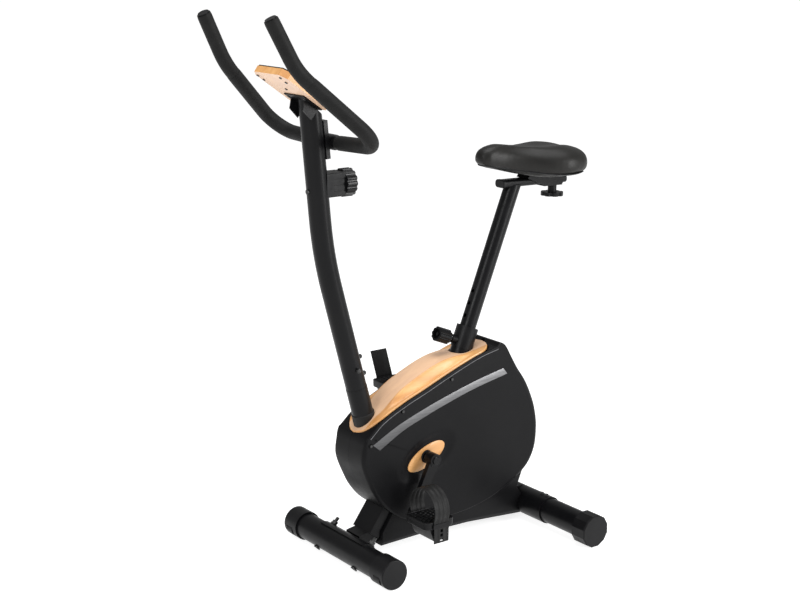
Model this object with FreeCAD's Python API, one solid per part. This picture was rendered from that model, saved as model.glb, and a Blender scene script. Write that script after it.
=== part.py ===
"""Upright exercise bike, in millimetres. +Z is up, +X is the rider's left, -Y is forward.

The origin is on the floor, under the middle of the bike's box. Each sub-part is one STEP file in parts/.
Upright outlines are lists of (y, z) points.
"""
import math
import os

import FreeCAD, Part

# Stabilisers
TUBE_R = 30.0
FRONT_Y, FRONT_Z = -200.0, 34.0
FRONT_TUBE_HALF, FRONT_CAP_HALF, FRONT_CAP_R, FRONT_CAP_LEN = 163.0, 199.5, 34.0, 49.5
ROLLER_R, ROLLER_PIN_R, ROLLER_OUT, ROLLER_DROP_DEG = 12.0, 3.0, 24.0, 20.0
ROLLER_X = (166.0, 188.0)
REAR_Y, REAR_Z = 316.0, 39.5
REAR_TUBE_HALF, REAR_CAP_HALF, REAR_CAP_LEN = 275.0, 282.0, 42.0
REAR_CAP_FLAT, REAR_CAP_OFFSET, REAR_CAP_SIDES = 38.0, 1.5, 12
SLEEVE_HALF, SLEEVE_R = 120.0, 33.0
PLATE_HALF, PLATE_R = 85.0, 33.0
STABILISER_BOLT_X, STABILISER_BOLT_TILT = 75.0, 45.0

# Frame inside the housing
BEAM_HALF, BEAM_FRONT, BEAM_Z = 20.0, -126.0, (34.0, 74.0)
CRANK_Y, CRANK_Z = -8.0, 226.0
WHEEL_Y, WHEEL_Z = 195.0, 235.0
WHEEL_R, WHEEL_HALF = 95.0, 14.0
PULLEY_R, SMALL_PULLEY_R, BELT_T = 95.0, 15.0, 3.0
BELT_X = (37.0, 45.0)
PULLEY_X = (35.0, 47.0)
RUN_GAP = 0.05
CLEAR = 0.3
WALL = 2.5

# Handlebar post: two straight runs joined by one long bend
POST_FOOT = (-98.0, 168.5)
POST_BEND = (-245.0, 715.0)
POST_TOP = (-275.5, 1054.0)
POST_BEND_R = 900.0
POST_R, POST_STUB_R, POST_NECK_R = 23.8, 24.4, 21.6
POST_RIM_Z, POST_STUB_TOP_Z = 405.0, 500.0

# Seat: a tube leaning back, with a sliding post
SEAT_BASE = (156.0, 498.0)
SEAT_LEAN = 21.93
SEAT_TUBE_R, SEAT_POST_R, SEAT_COLLAR_R = 24.0, 19.0, 26.0
SEAT_RIM, SEAT_POST_FROM, SEAT_POST_TO = -3.0, -200.0, 360.0
LOCK_AT = -40.0
BAR_Y, BAR_Z, BAR_DROP_DEG = 345.0, 820.5, 1.2
BAR_ENDS = (-93.0, 88.0)
BAR_HALF_X, BAR_HALF_Z, BAR_ROUND = 16.0, 9.0, 7.5
BRACKET_HALF, BRACKET_TOP = 21.0, 40.0
SADDLE_KNOB_Y = 408.0

# Saddle sections: y, half width, top z, bottom z
SADDLE_SECTIONS = [
    (176.0, 10.0, 895.0, 880.0), (190.0, 24.0, 909.0, 872.0), (215.0, 31.0, 912.0, 866.0),
    (250.0, 37.0, 909.0, 859.0), (300.0, 60.0, 904.0, 850.0), (350.0, 88.0, 903.0, 843.0),
    (392.0, 98.0, 904.0, 841.0), (434.0, 88.0, 901.0, 843.0), (468.0, 38.0, 888.0, 858.0),
]

# Handlebar
GRIP_R, BAR_R = 15.5, 12.7
CLAMP_Y, CLAMP_Z = -222.0, 958.0
BAR_CORNER = (201.0, -230.0, 966.0)
BAR_ELBOW = (142.0, -393.0, 1122.0)
BAR_TIP = (132.3, -445.2, 1226.0)
BAR_CORNER_R, BAR_ELBOW_R = 52.0, 160.0
CLAMP_BOLT_Z = (936.0, 981.0, 994.0)
CLAMP_PLATE_Z, CLAMP_FACE = (922.0, 1004.0), POST_R + 6.0

# Console board, tilted towards the rider
CONSOLE_Y, CONSOLE_Z, CONSOLE_TILT = -317.4, 1076.8, 35.1
BOARD_HALF_X, BOARD_HALF_L, BOARD_T, BOARD_CORNER = 63.0, 68.5, 15.0, 15.0
BRACKET_T = 3.0
BUTTON_Y = -24.0

# Tension control on the back of the post
TENSION_Y, TENSION_Z = -233.0, 868.0
TENSION_DEPTH, TENSION_HALF_X, TENSION_HALF_Z = 33.0, 22.0, 26.0
TENSION_KNOB_R, TENSION_KNOB_T = 31.0, 25.0

# Housing
HOUSING_HALF, HOUSING_WALL, HOUSING_ROUND = 62.0, 3.0, 13.0
HOUSING_OUTLINE = [
    (202, 461), (150, 445), (96, 427), (41, 408), (-13, 387), (-67, 367), (-120, 342), (-155, 318), (-179, 283),
    (-184, 240), (-167, 193), (-144, 151), (-108, 113), (-55, 82), (10, 68), (90, 68), (160, 79), (233, 101),
    (291, 132), (321, 176), (328, 232), (321, 281), (306, 322), (288, 357), (264, 391), (240, 427), (223, 454),
]
SKIRT_HALF = 42.0
SKIRT_OUTLINE = [
    (-120, 27), (-14, 29), (135, 25), (300, 12), (300, 60), (281, 84), (300, 128), (200, 160), (0, 160),
    (-78, 120), (-120, 60),
]
SKIRT_INNER = [
    (-117, 30), (-14, 32), (135, 28), (297, 15), (297, 59), (277, 84), (290, 126), (0, 150), (-76, 116),
    (-117, 59),
]
COVER_HALF, COVER_ENDS = 52.0, (-170.0, 197.0)
COVER_BORDER = [(-171, 304), (-132, 336), (-67, 367), (-13, 387), (41, 408), (96, 428), (150, 445), (206, 456)]
COVER_WALL = 3.0
# Cover sections: y, height of the raised middle above the border
COVER_RISE = [(-190, 1), (-115, 2), (-65, 18), (-10, 26), (50, 24), (98, 13), (150, 3), (212, 1)]
STRIPE_UPPER = [(-158, 283), (-96, 314), (-36, 336), (29, 356), (122, 380), (214, 398)]
STRIPE_LOWER = [(226, 383), (122, 363), (33, 339), (-11, 325), (-76, 302), (-140, 268)]
OVAL_LONG, OVAL_SHORT, OVAL_TILT = 56.0, 24.0, 24.0
HOUSING_SCREWS = [(-165, 283), (-77, 347), (61, 398)]
LEG_HALF = 34.0
LEG_OUTLINE = [(-150, 64), (-127, 47), (-73, 121), (-96, 138)]
FOOT_HALF = 26.0
FOOT_OUTLINE = [(-174, 60), (-150, 64), (-127, 47), (-150, 14), (-174, 16)]

# Cranks and pedals
CRANK_LEN, CRANK_ANGLE = 125.7, 27.0
CRANK_X = (80.0, 92.0)
AXLE_R, AXLE_HALF, SHELL_R, SHELL_HALF = 8.5, 93.0, 20.0, 33.0
SPINDLE_R = 6.0
PEDAL_X = (104.0, 186.0)
PEDAL_HALF_Y = 40.0
STRAP_HALF_Y, STRAP_T, STRAP_RISE = 20.0, 2.5, 66.0
LOOSE_STRAP_LEN, LOOSE_STRAP_LEAN = 64.0, 23.0

# Magnet brake
ARM_Y, ARM_Z = 145.0, 342.0
SHOE_R = (106.0, 110.0)
MAGNET_R = (103.0, 106.0)
SHOE_ARC = (48.0, 106.0)
MAGNET_ANGLES = (56.0, 76.0, 96.0)

# Brake cable, from the tension control down the post to the magnet arm
CABLE_HOLE, CABLE_HOLE_R = (-2.5, 298.5), 7.2
CABLE_R = 2.5
CABLE_ROUTE = [
    (0, -222, 868), (0, -252, 862), (0, -259, 820), (0, -243, 712), (0, -208, 580), (0, -168, 430),
    (0, -133, 312), (-4, -100, 292), (-20, -70, 292), (-34, -20, 300), (-34, 50, 318), (-30, 110, 345),
    (-14, 140, 362), (-2, 158, 364),
]


def vec(x, y, z):
    return FreeCAD.Vector(x, y, z)


def rod(radius, start, end):
    """A solid cylinder between two points."""
    along = vec(*end) - vec(*start)
    return Part.makeCylinder(radius, along.Length, vec(*start), along)


def pipe(outer, inner, start, end):
    """A cylinder with a hole all the way through."""
    return rod(outer, start, end).cut(rod(inner, start, end))


def rod_x(radius, y, z, x0, x1):
    return rod(radius, (x0, y, z), (x1, y, z))


def pipe_x(outer, inner, y, z, x0, x1):
    return pipe(outer, inner, (x0, y, z), (x1, y, z))


def block(x0, x1, y0, y1, z0, z1):
    return Part.makeBox(x1 - x0, y1 - y0, z1 - z0, vec(x0, y0, z0))


def slab(points, x0, x1):
    """An outline of (y, z) points, extruded along X."""
    wire = Part.makePolygon([vec(x0, y, z) for y, z in list(points) + [points[0]]])
    return Part.Face(wire).extrude(vec(x1 - x0, 0, 0))


def mirrored(shape):
    return shape.mirror(vec(0, 0, 0), vec(1, 0, 0))


def both_sides(shape):
    return [shape, mirrored(shape)]


def cut_all(shape, tools):
    for tool in tools:
        shape = shape.cut(tool)
    return shape


def fuse_all(shapes):
    whole = shapes[0]
    for shape in shapes[1:]:
        whole = whole.fuse(shape)
    return whole.removeSplitter()


def group(shapes):
    return Part.makeCompound(shapes)


def save(name, shape):
    shape.exportStep("parts/" + name + ".step")


def ring_sector(inner, outer, y, z, x0, x1, from_deg, to_deg):
    """Part of a ring round an X axis. Angles run from +Y towards +Z."""
    def at(radius, degrees):
        angle = math.radians(degrees)
        return vec(x0, y + radius * math.cos(angle), z + radius * math.sin(angle))

    middle = (from_deg + to_deg) / 2
    outside = Part.Arc(at(outer, from_deg), at(outer, middle), at(outer, to_deg)).toShape()
    inside = Part.Arc(at(inner, to_deg), at(inner, middle), at(inner, from_deg)).toShape()
    first_end = Part.makeLine(at(inner, from_deg), at(outer, from_deg))
    last_end = Part.makeLine(at(outer, to_deg), at(inner, to_deg))
    return Part.Face(Part.Wire([outside, last_end, inside, first_end])).extrude(vec(x1 - x0, 0, 0))


def seat_point(along, out=0.0, x=0.0):
    """A point on the seat tube's line, and a distance forward of it."""
    lean = math.radians(SEAT_LEAN)
    y = SEAT_BASE[0] + along * math.sin(lean) - out * math.cos(lean)
    z = SEAT_BASE[1] + along * math.cos(lean) + out * math.sin(lean)
    return (x, y, z)


def post_y(z):
    """The post's centre line, as y at a height."""
    (y0, z0), (y1, z1) = (POST_FOOT, POST_BEND) if z < POST_BEND[1] else (POST_BEND, POST_TOP)
    return y0 + (y1 - y0) * (z - z0) / (z1 - z0)


def post_point(z, x=0.0, back=0.0):
    return (x, post_y(z) + back, z)


def post_side(z, out, x=0.0):
    """A point behind the post's upper run, at a distance square to its centre line."""
    lean = math.atan2(POST_BEND[0] - POST_TOP[0], POST_TOP[1] - POST_BEND[1])
    return (x, post_y(z) + out * math.cos(lean), z + out * math.sin(lean))


def rounded_path(points, radii):
    """Straight runs joined by tangent arcs. radii has one radius for each inner point."""
    points = [vec(*p) for p in points]
    edges = []
    start = points[0]
    for before, corner, after, radius in zip(points, points[1:], points[2:], radii):
        back = (before - corner).normalize()
        ahead = (after - corner).normalize()
        half = back.getAngle(ahead) / 2
        reach = radius / math.tan(half)
        middle = corner + (back + ahead).normalize() * (radius / math.sin(half) - radius)
        arc_start = corner + back * reach
        arc_end = corner + ahead * reach
        edges.append(Part.LineSegment(start, arc_start).toShape())
        edges.append(Part.Arc(arc_start, middle, arc_end).toShape())
        start = arc_end
    edges.append(Part.LineSegment(start, points[-1]).toShape())
    return edges


def sweep(edges, radius):
    """A round bar along a path of joined edges."""
    wire = Part.Wire(edges)
    start = edges[0].valueAt(edges[0].FirstParameter)
    direction = edges[0].tangentAt(edges[0].FirstParameter)
    profile = Part.Wire(Part.makeCircle(radius, start, direction))
    return wire.makePipeShell([profile], True, False)


def hexagon(across, start, end):
    """A hexagonal nut or bolt head between two points."""
    along = vec(*end) - vec(*start)
    side = vec(1, 0, 0) if abs(along.x) < along.Length / 2 else vec(0, 1, 0)
    reach = along.cross(side).normalize() * (across / math.sqrt(3))
    corners = []
    for step in range(7):
        turn = FreeCAD.Rotation(along, 60.0 * step)
        corners.append(vec(*start) + turn.multVec(reach))
    return Part.Face(Part.makePolygon(corners)).extrude(along)


def fluted_disc(radius, thickness, start, along, flutes, flute_r):
    """A round knob with grooves down its rim."""
    axis = vec(*along).normalize()
    disc = Part.makeCylinder(radius, thickness, vec(*start), axis)
    side = vec(1, 0, 0) if abs(axis.x) < 0.5 else vec(0, 1, 0)
    reach = axis.cross(side).normalize() * (radius + flute_r * 0.45)
    grooves = []
    for step in range(flutes):
        turn = FreeCAD.Rotation(axis, 360.0 * step / flutes)
        grooves.append(Part.makeCylinder(flute_r, thickness, vec(*start) + turn.multVec(reach), axis))
    return disc.cut(Part.makeCompound(grooves))


# ---------------------------------------------------------------- stabilisers

def bolt_line(x, low, high):
    """Two points on a stabiliser bolt, at distances from the front tube's axis."""
    tilt = math.radians(STABILISER_BOLT_TILT)
    points = []
    for reach in (low, high):
        points.append((x, FRONT_Y + reach * math.sin(tilt), FRONT_Z + reach * math.cos(tilt)))
    return points


def stabiliser_bolt_holes():
    return [rod(4.3, *bolt_line(x, -40, 40)) for x in (-STABILISER_BOLT_X, STABILISER_BOLT_X)]


def roller_centre():
    drop = math.radians(ROLLER_DROP_DEG)
    return FRONT_Y - ROLLER_OUT * math.cos(drop), FRONT_Z - ROLLER_OUT * math.sin(drop)


def front_stabiliser():
    tube = pipe_x(TUBE_R, TUBE_R - WALL, FRONT_Y, FRONT_Z, -FRONT_TUBE_HALF, FRONT_TUBE_HALF)
    save("front_stabiliser_tube", cut_all(tube, stabiliser_bolt_holes()))

    inner_end = FRONT_CAP_HALF - FRONT_CAP_LEN
    cap = rod_x(FRONT_CAP_R, FRONT_Y, FRONT_Z, inner_end, FRONT_CAP_HALF)
    cap = cap.makeFillet(2.5, [e for e in cap.Edges if e.BoundBox.XMin > FRONT_CAP_HALF - 1])
    cap = cap.cut(rod_x(TUBE_R, FRONT_Y, FRONT_Z, inner_end, FRONT_TUBE_HALF))
    y, z = roller_centre()
    x0, x1 = ROLLER_X
    cap = cap.cut(rod_x(ROLLER_R + 1.5, y, z, x0 - 1, x1 + 1))
    cap = cap.fuse(rod_x(ROLLER_PIN_R, y, z, x0 - 3, x1 + 3)).removeSplitter()
    save("front_end_caps", group(both_sides(cap)))

    roller = pipe_x(ROLLER_R, ROLLER_PIN_R + RUN_GAP, y, z, x0, x1)
    save("roller_left", roller)
    save("roller_right", mirrored(roller))


def rear_stabiliser():
    tube = pipe_x(TUBE_R, TUBE_R - WALL, REAR_Y, REAR_Z, -REAR_TUBE_HALF, REAR_TUBE_HALF)
    save("rear_stabiliser_tube", tube)
    sleeve = pipe_x(SLEEVE_R, TUBE_R + CLEAR, REAR_Y, REAR_Z, -SLEEVE_HALF, SLEEVE_HALF)
    save("rear_sleeve", sleeve)

    corner_r = REAR_CAP_FLAT / math.cos(math.pi / REAR_CAP_SIDES)
    centre_z = REAR_Z - REAR_CAP_OFFSET
    corners = []
    for step in range(REAR_CAP_SIDES):
        angle = math.pi * (2 * step + 1) / REAR_CAP_SIDES
        corners.append((REAR_Y + corner_r * math.cos(angle), centre_z + corner_r * math.sin(angle)))
    inner_end = REAR_CAP_HALF - REAR_CAP_LEN
    cap = slab(corners, inner_end, REAR_CAP_HALF)
    cap = cap.makeChamfer(2.5, [e for e in cap.Edges if e.BoundBox.XMin > REAR_CAP_HALF - 1])
    cap = cap.cut(rod_x(TUBE_R + RUN_GAP, REAR_Y, REAR_Z, inner_end, REAR_TUBE_HALF + CLEAR))
    save("rear_cap_left", cap)
    save("rear_cap_right", mirrored(cap))


# ---------------------------------------------------------------- frame

def stub_line():
    """The lower run of the post, from its foot on the beam to the top of the stub."""
    low = (0, post_y(BEAM_Z[1] + 6), BEAM_Z[1] + 6)
    return low, post_point(POST_STUB_TOP_Z)


def base_frame():
    beam = block(-BEAM_HALF, BEAM_HALF, BEAM_FRONT, REAR_Y, *BEAM_Z)
    inner_z = (BEAM_Z[0] + WALL, BEAM_Z[1] - WALL)
    hollow = block(-BEAM_HALF + WALL, BEAM_HALF - WALL, BEAM_FRONT + WALL, REAR_Y, *inner_z)
    beam = beam.cut(hollow).cut(rod_x(SLEEVE_R, REAR_Y, REAR_Z, -SLEEVE_HALF, SLEEVE_HALF))
    beam = beam.cut(slab(LEG_OUTLINE, -LEG_HALF, LEG_HALF))
    save("base_beam", beam)

    low, high = stub_line()
    rim = post_point(POST_RIM_Z)
    stub = pipe(POST_STUB_R, POST_NECK_R - WALL, (0, post_y(40), 40), rim)
    stub = stub.fuse(pipe(POST_NECK_R, POST_NECK_R - WALL, rim, high)).removeSplitter()
    below_beam = block(-40, 40, -140, 20, 0, BEAM_Z[1])
    save("post_stub", cut_all(stub, [below_beam, stub_cable_hole()] + bolt_holes()))

    leg = slab(LEG_OUTLINE, -LEG_HALF, LEG_HALF)
    hollow = slab(LEG_OUTLINE, -LEG_HALF + WALL, LEG_HALF - WALL)
    hollow.scale(0.9, hollow.CenterOfMass)
    leg = leg.cut(hollow).cut(rod(POST_STUB_R, low, high))
    leg = keep_largest(leg.cut(rod_x(PLATE_R, FRONT_Y, FRONT_Z, -PLATE_HALF, PLATE_HALF)))
    foot = slab(FOOT_OUTLINE, -FOOT_HALF, FOOT_HALF)
    foot = foot.cut(rod_x(PLATE_R, FRONT_Y, FRONT_Z, -PLATE_HALF, PLATE_HALF))
    foot = foot.cut(slab(LEG_OUTLINE, -LEG_HALF, LEG_HALF))
    plate = ring_sector(TUBE_R, PLATE_R, FRONT_Y, FRONT_Z, -PLATE_HALF, PLATE_HALF, -12, 100)
    plate = cut_all(plate, stabiliser_bolt_holes())
    save("front_leg", group([leg, keep_largest(foot), plate]))

    plates = []
    for x0, x1 in ((BEAM_HALF, BEAM_HALF + 4), (-BEAM_HALF - 4, -BEAM_HALF)):
        plate = slab([(145, 44), (245, 44), (212, 226), (178, 226)], x0, x1)
        plate = plate.fuse(rod_x(22, WHEEL_Y, WHEEL_Z, x0, x1)).removeSplitter()
        plates.append(plate.cut(rod_x(14, WHEEL_Y, WHEEL_Z, x0, x1)))
    save("flywheel_plates", group(plates))


def keep_largest(shape):
    return max(shape.Solids, key=lambda solid: solid.Volume)


def seat_frame():
    outer = rod(SEAT_TUBE_R, seat_point(-480), seat_point(SEAT_RIM - 4))
    inner = rod(SEAT_TUBE_R - WALL, seat_point(-480), seat_point(SEAT_RIM))
    floor_cut = block(-60, 60, -100, 100, 0, BEAM_Z[1])
    boss = rod(10, seat_point(LOCK_AT, SEAT_TUBE_R - 2), seat_point(LOCK_AT, 40))
    lug_half = 5.0
    arm_lug = slab([(96, 330), (150, 334), (152, 350), (106, 352)], -lug_half, lug_half)
    arm_lug = arm_lug.cut(rod_x(4, ARM_Y, ARM_Z, -lug_half, lug_half))
    tube = fuse_all([outer, boss, arm_lug.cut(outer)])
    lock_bore = rod(6 + RUN_GAP, seat_point(LOCK_AT, 10), seat_point(LOCK_AT, 50))
    save("seat_tube", cut_all(tube, [inner, lock_bore, floor_cut]))

    collar = rod(SEAT_COLLAR_R, seat_point(SEAT_RIM - 52), seat_point(SEAT_RIM))
    collar = collar.cut(rod(SEAT_TUBE_R, seat_point(SEAT_RIM - 60), seat_point(SEAT_RIM - 4)))
    liner = rod(SEAT_TUBE_R - WALL, seat_point(SEAT_RIM - 110), seat_point(SEAT_RIM - 2))
    bushing = collar.fuse(liner).removeSplitter()
    bushing = bushing.cut(rod(SEAT_POST_R + RUN_GAP, seat_point(SEAT_RIM - 120), seat_point(SEAT_RIM + 5)))
    save("seat_bushing", bushing.cut(rod(10.2, seat_point(LOCK_AT, 10), seat_point(LOCK_AT, 50))))

    shell = pipe_x(SHELL_R, 17, CRANK_Y, CRANK_Z, -SHELL_HALF, SHELL_HALF)
    low, high = stub_line()
    web = slab([(-110, 215), (-8, 215), (60, 215), (60, 240), (-8, 242), (-118, 250)], -3, 3)
    web = web.cut(rod_x(SHELL_R, CRANK_Y, CRANK_Z, -3, 3))
    web = web.cut(rod(POST_STUB_R, low, high)).cut(rod(SEAT_TUBE_R, seat_point(-480), seat_point(0)))
    save("bottom_bracket", group([shell] + web.Solids))

    races = []
    for x0, x1 in ((22, SHELL_HALF), (-SHELL_HALF, -22)):
        races.append(pipe_x(17, AXLE_R + RUN_GAP, CRANK_Y, CRANK_Z, x0, x1))
    for x0, x1 in ((18, 26), (-26, -18)):
        races.append(pipe_x(14, 6 + RUN_GAP, WHEEL_Y, WHEEL_Z, x0, x1))
    save("bearings", group(races))


# ---------------------------------------------------------------- handlebar post

def bolt_holes():
    """Holes for the bolts that join the post to its stub."""
    return [rod(3.6, *ends) for ends in post_bolt_lines()]


def post_bolt_lines():
    return [
        (post_point(474, 0, 20), post_point(474, 0, POST_R + 3)),
        (post_point(434, 0, 20), post_point(434, 0, POST_R + 3)),
        (post_point(450, 20), post_point(450, POST_R + 2.5)),
        (post_point(450, -20), post_point(450, -POST_R - 2.5)),
    ]


def stub_cable_hole():
    """Where the brake cable leaves the stub, just above the crank."""
    x, z = CABLE_HOLE
    return rod(CABLE_HOLE_R, (x, post_y(z), z), (x, post_y(z) + 2 * POST_STUB_R, z))


def handlebar_post():
    path = rounded_path([post_point(POST_RIM_Z), (0,) + POST_BEND, (0,) + POST_TOP], [POST_BEND_R])
    outer = sweep(path, POST_R)
    inner = sweep(path, POST_NECK_R + CLEAR)
    cable_exit = rod(5.8, post_point(TENSION_Z), post_point(TENSION_Z, 0, 60))
    screw_hole = rod(2.6, post_point(TENSION_Z - 12, 0, -60), post_point(TENSION_Z - 12))
    clamp_holes = [rod(3.1, post_side(z, 0), post_side(z, 60)) for z in CLAMP_BOLT_Z]
    holes = bolt_holes() + clamp_holes + [cable_exit, screw_hole, above_bracket()]
    save("handlebar_post", cut_all(outer.cut(inner), holes))


def clamp():
    corners = [post_side(z, out)[1:] for z, out in (
        (CLAMP_PLATE_Z[0], POST_R - 4), (CLAMP_PLATE_Z[0], CLAMP_FACE),
        (CLAMP_PLATE_Z[1], CLAMP_FACE), (CLAMP_PLATE_Z[1], POST_R - 4))]
    hug = rod_x(BAR_R + 4, CLAMP_Y, CLAMP_Z, -17, 17)
    body = slab(corners, -17, 17).fuse(hug).removeSplitter()
    body = body.cut(rod_x(BAR_R + RUN_GAP, CLAMP_Y, CLAMP_Z, -20, 20))
    body = body.cut(rod(POST_R, post_point(900), post_point(1030)))
    holes = [rod(3.1, post_side(z, POST_R - 8), post_side(z, CLAMP_FACE + 8)) for z in CLAMP_BOLT_Z]
    save("handlebar_clamp", keep_largest(cut_all(body, holes)))


def tension_control():
    y0 = TENSION_Y
    y1 = TENSION_Y + TENSION_DEPTH
    z0, z1 = TENSION_Z - TENSION_HALF_Z, TENSION_Z + TENSION_HALF_Z
    box = block(-TENSION_HALF_X, TENSION_HALF_X, y0 - 14, y1, z0, z1)
    box = box.makeFillet(3, [e for e in box.Edges if e.BoundBox.YLength > 20])
    for z in (TENSION_Z - 13, TENSION_Z, TENSION_Z + 13):
        for x0, x1 in ((TENSION_HALF_X - 1, TENSION_HALF_X + 1), (-TENSION_HALF_X - 1, -TENSION_HALF_X + 1)):
            box = box.cut(block(x0, x1, y0 + 3, y1 - 3, z - 1.2, z + 1.2))
    box = box.cut(rod(POST_R, post_point(800), post_point(940)))
    cavity = block(-12, 12, y0 + 4, y1 - 6, TENSION_Z - 14, TENSION_Z + 14)
    shaft = rod(5 + RUN_GAP, (0, y1 - 10, TENSION_Z), (0, y1, TENSION_Z))
    lead = rod(5, (0, y0 - 14, TENSION_Z), (0, y0 + 6, TENSION_Z))
    save("tension_box", cut_all(box, [cavity, shaft, lead]))

    knob = fluted_disc(TENSION_KNOB_R, TENSION_KNOB_T, (0, y1 + 1, TENSION_Z), (0, 1, 0), 14, 4.5)
    stem = rod(5, (0, y1 - 5.5, TENSION_Z), (0, y1 + 2, TENSION_Z))
    save("tension_knob", fuse_all([knob, stem]))


# ---------------------------------------------------------------- handlebar

def handlebar():
    half = [BAR_TIP, BAR_ELBOW, BAR_CORNER, (30, CLAMP_Y, CLAMP_Z)]
    points = half + [(-x, y, z) for x, y, z in reversed(half)]
    radii = [BAR_ELBOW_R, BAR_CORNER_R, 300, 300, BAR_CORNER_R, BAR_ELBOW_R]
    path = rounded_path(points, radii)
    tube = sweep(path, BAR_R).cut(sweep(path, BAR_R - 1.6))
    save("handlebar_tube", tube)

    grips = []
    grip_path = rounded_path(half, [BAR_ELBOW_R, BAR_CORNER_R])
    whole = sweep(grip_path, GRIP_R).cut(sweep(path, BAR_R))
    seam = vec(*BAR_ELBOW)
    down = (vec(*BAR_CORNER) - seam).normalize()
    lower = Part.makeCylinder(200, 400, seam + down * 30, down)
    parts = [keep_largest(whole.cut(lower)), keep_largest(whole.common(lower))]
    for piece in parts:
        grips += both_sides(piece)
    save("foam_grips", group(grips))

    tip = vec(*BAR_TIP)
    out = (tip - vec(*BAR_ELBOW)).normalize()
    plug = Part.makeCylinder(12, 3, tip, out).fuse(Part.makeCylinder(BAR_R - 1.6, 14, tip - out * 14, out))
    save("handlebar_plugs", group(both_sides(plug.removeSplitter())))


# ---------------------------------------------------------------- console

def on_console(shape):
    """Lifts a shape modelled flat, with its front face up, onto the tilted console."""
    shape.rotate(vec(0, 0, 0), vec(1, 0, 0), -CONSOLE_TILT)
    shape.translate(vec(0, CONSOLE_Y, CONSOLE_Z))
    return shape


def chamfered_plate(half_x, half_y, z0, z1, corner):
    plate = block(-half_x, half_x, -half_y, half_y, z0, z1)
    upright = [e for e in plate.Edges if e.BoundBox.ZLength > abs(z1 - z0) / 2]
    return plate.makeChamfer(corner, upright)


def above_bracket():
    """The space above the console bracket's plate, which mitres the post's top."""
    return on_console(block(-60, 60, -90, 90, -BOARD_T / 2 - BRACKET_T, 60))


def console():
    half_t = BOARD_T / 2
    board = chamfered_plate(BOARD_HALF_X, BOARD_HALF_L, -half_t, half_t, BOARD_CORNER)
    heads = []
    pilot = []
    board_screws = [(-54, -53), (-52, -37), (38, -56), (36, -38), (-5, -7)]
    plate_screws = [(-30, 22), (30, 22)]
    for spots, low in ((board_screws, -half_t), (plate_screws, -half_t - BRACKET_T)):
        for x, y in spots:
            pilot.append(rod(1.6, (x, y, low), (x, y, 0)))
            head = rod(3.2, (x, y, low - 1.8), (x, y, low))
            heads.append(on_console(pilot[-1].fuse(head).removeSplitter()))
    save("console_board", on_console(cut_all(board, pilot)))

    base_top, top = half_t + 3, half_t + 12
    base = chamfered_plate(BOARD_HALF_X - 1.5, BOARD_HALF_L - 1.5, half_t, base_top, BOARD_CORNER)
    hump = chamfered_plate(44, 42, base_top - 1, top, 12)
    hump = hump.makeFillet(4, [e for e in hump.Edges if e.BoundBox.ZMin > top - 0.5])
    hump.translate(vec(0, 4, 0))
    case = base.fuse(hump).removeSplitter()
    window = chamfered_plate(38, 26, top - 3, top + 1, 4)
    window.translate(vec(0, 13, 0))
    well = rod(9.2, (0, BUTTON_Y, top - 9), (0, BUTTON_Y, top + 1))
    save("console_case", on_console(cut_all(case, [window, well])))
    lens = chamfered_plate(38, 26, top - 3, top - 0.4, 4)
    lens.translate(vec(0, 13, 0))
    save("console_lens", on_console(lens))
    key = rod(8.9, (0, BUTTON_Y, top - 7), (0, BUTTON_Y, top + 1.5))
    key = key.makeFillet(1.2, [e for e in key.Edges if e.BoundBox.ZMin > top + 1])
    save("mode_key", on_console(key))

    pieces = [block(-38, 38, 12, 66, -half_t - BRACKET_T, -half_t)]
    for x0, x1 in ((POST_R + 0.6, POST_R + 3.2), (-POST_R - 3.2, -POST_R - 0.6)):
        pieces.append(slab([(34, -half_t - 24), (62, -half_t - 30), (64, -half_t - 2), (24, -half_t - 2)], x0, x1))
    bracket = on_console(cut_all(fuse_all(pieces), pilot[-2:]))
    neck = rod(POST_NECK_R + CLEAR - 0.4, post_point(1000), post_point(1075))
    save("console_bracket", fuse_all([bracket, neck.cut(above_bracket())]))
    return heads


# ---------------------------------------------------------------- seat

def on_bar(shape):
    """Places a shape modelled round the slider bar's middle."""
    shape.rotate(vec(0, 0, 0), vec(1, 0, 0), -BAR_DROP_DEG)
    shape.translate(vec(0, BAR_Y, BAR_Z))
    return shape


def bar_cap(start, proud):
    """A plug on the slider bar's end. The front one stands proud of the bar all round."""
    half_x, half_z = BAR_HALF_X + proud, BAR_HALF_Z + proud
    cap = block(-half_x, half_x, start, start + 8, -half_z, half_z)
    cap = cap.makeFillet(BAR_ROUND + proud, [e for e in cap.Edges if e.BoundBox.YLength > 7])
    return cap.makeFillet(2.5, [e for e in cap.Edges if e.BoundBox.YMin > start + 7])


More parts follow.
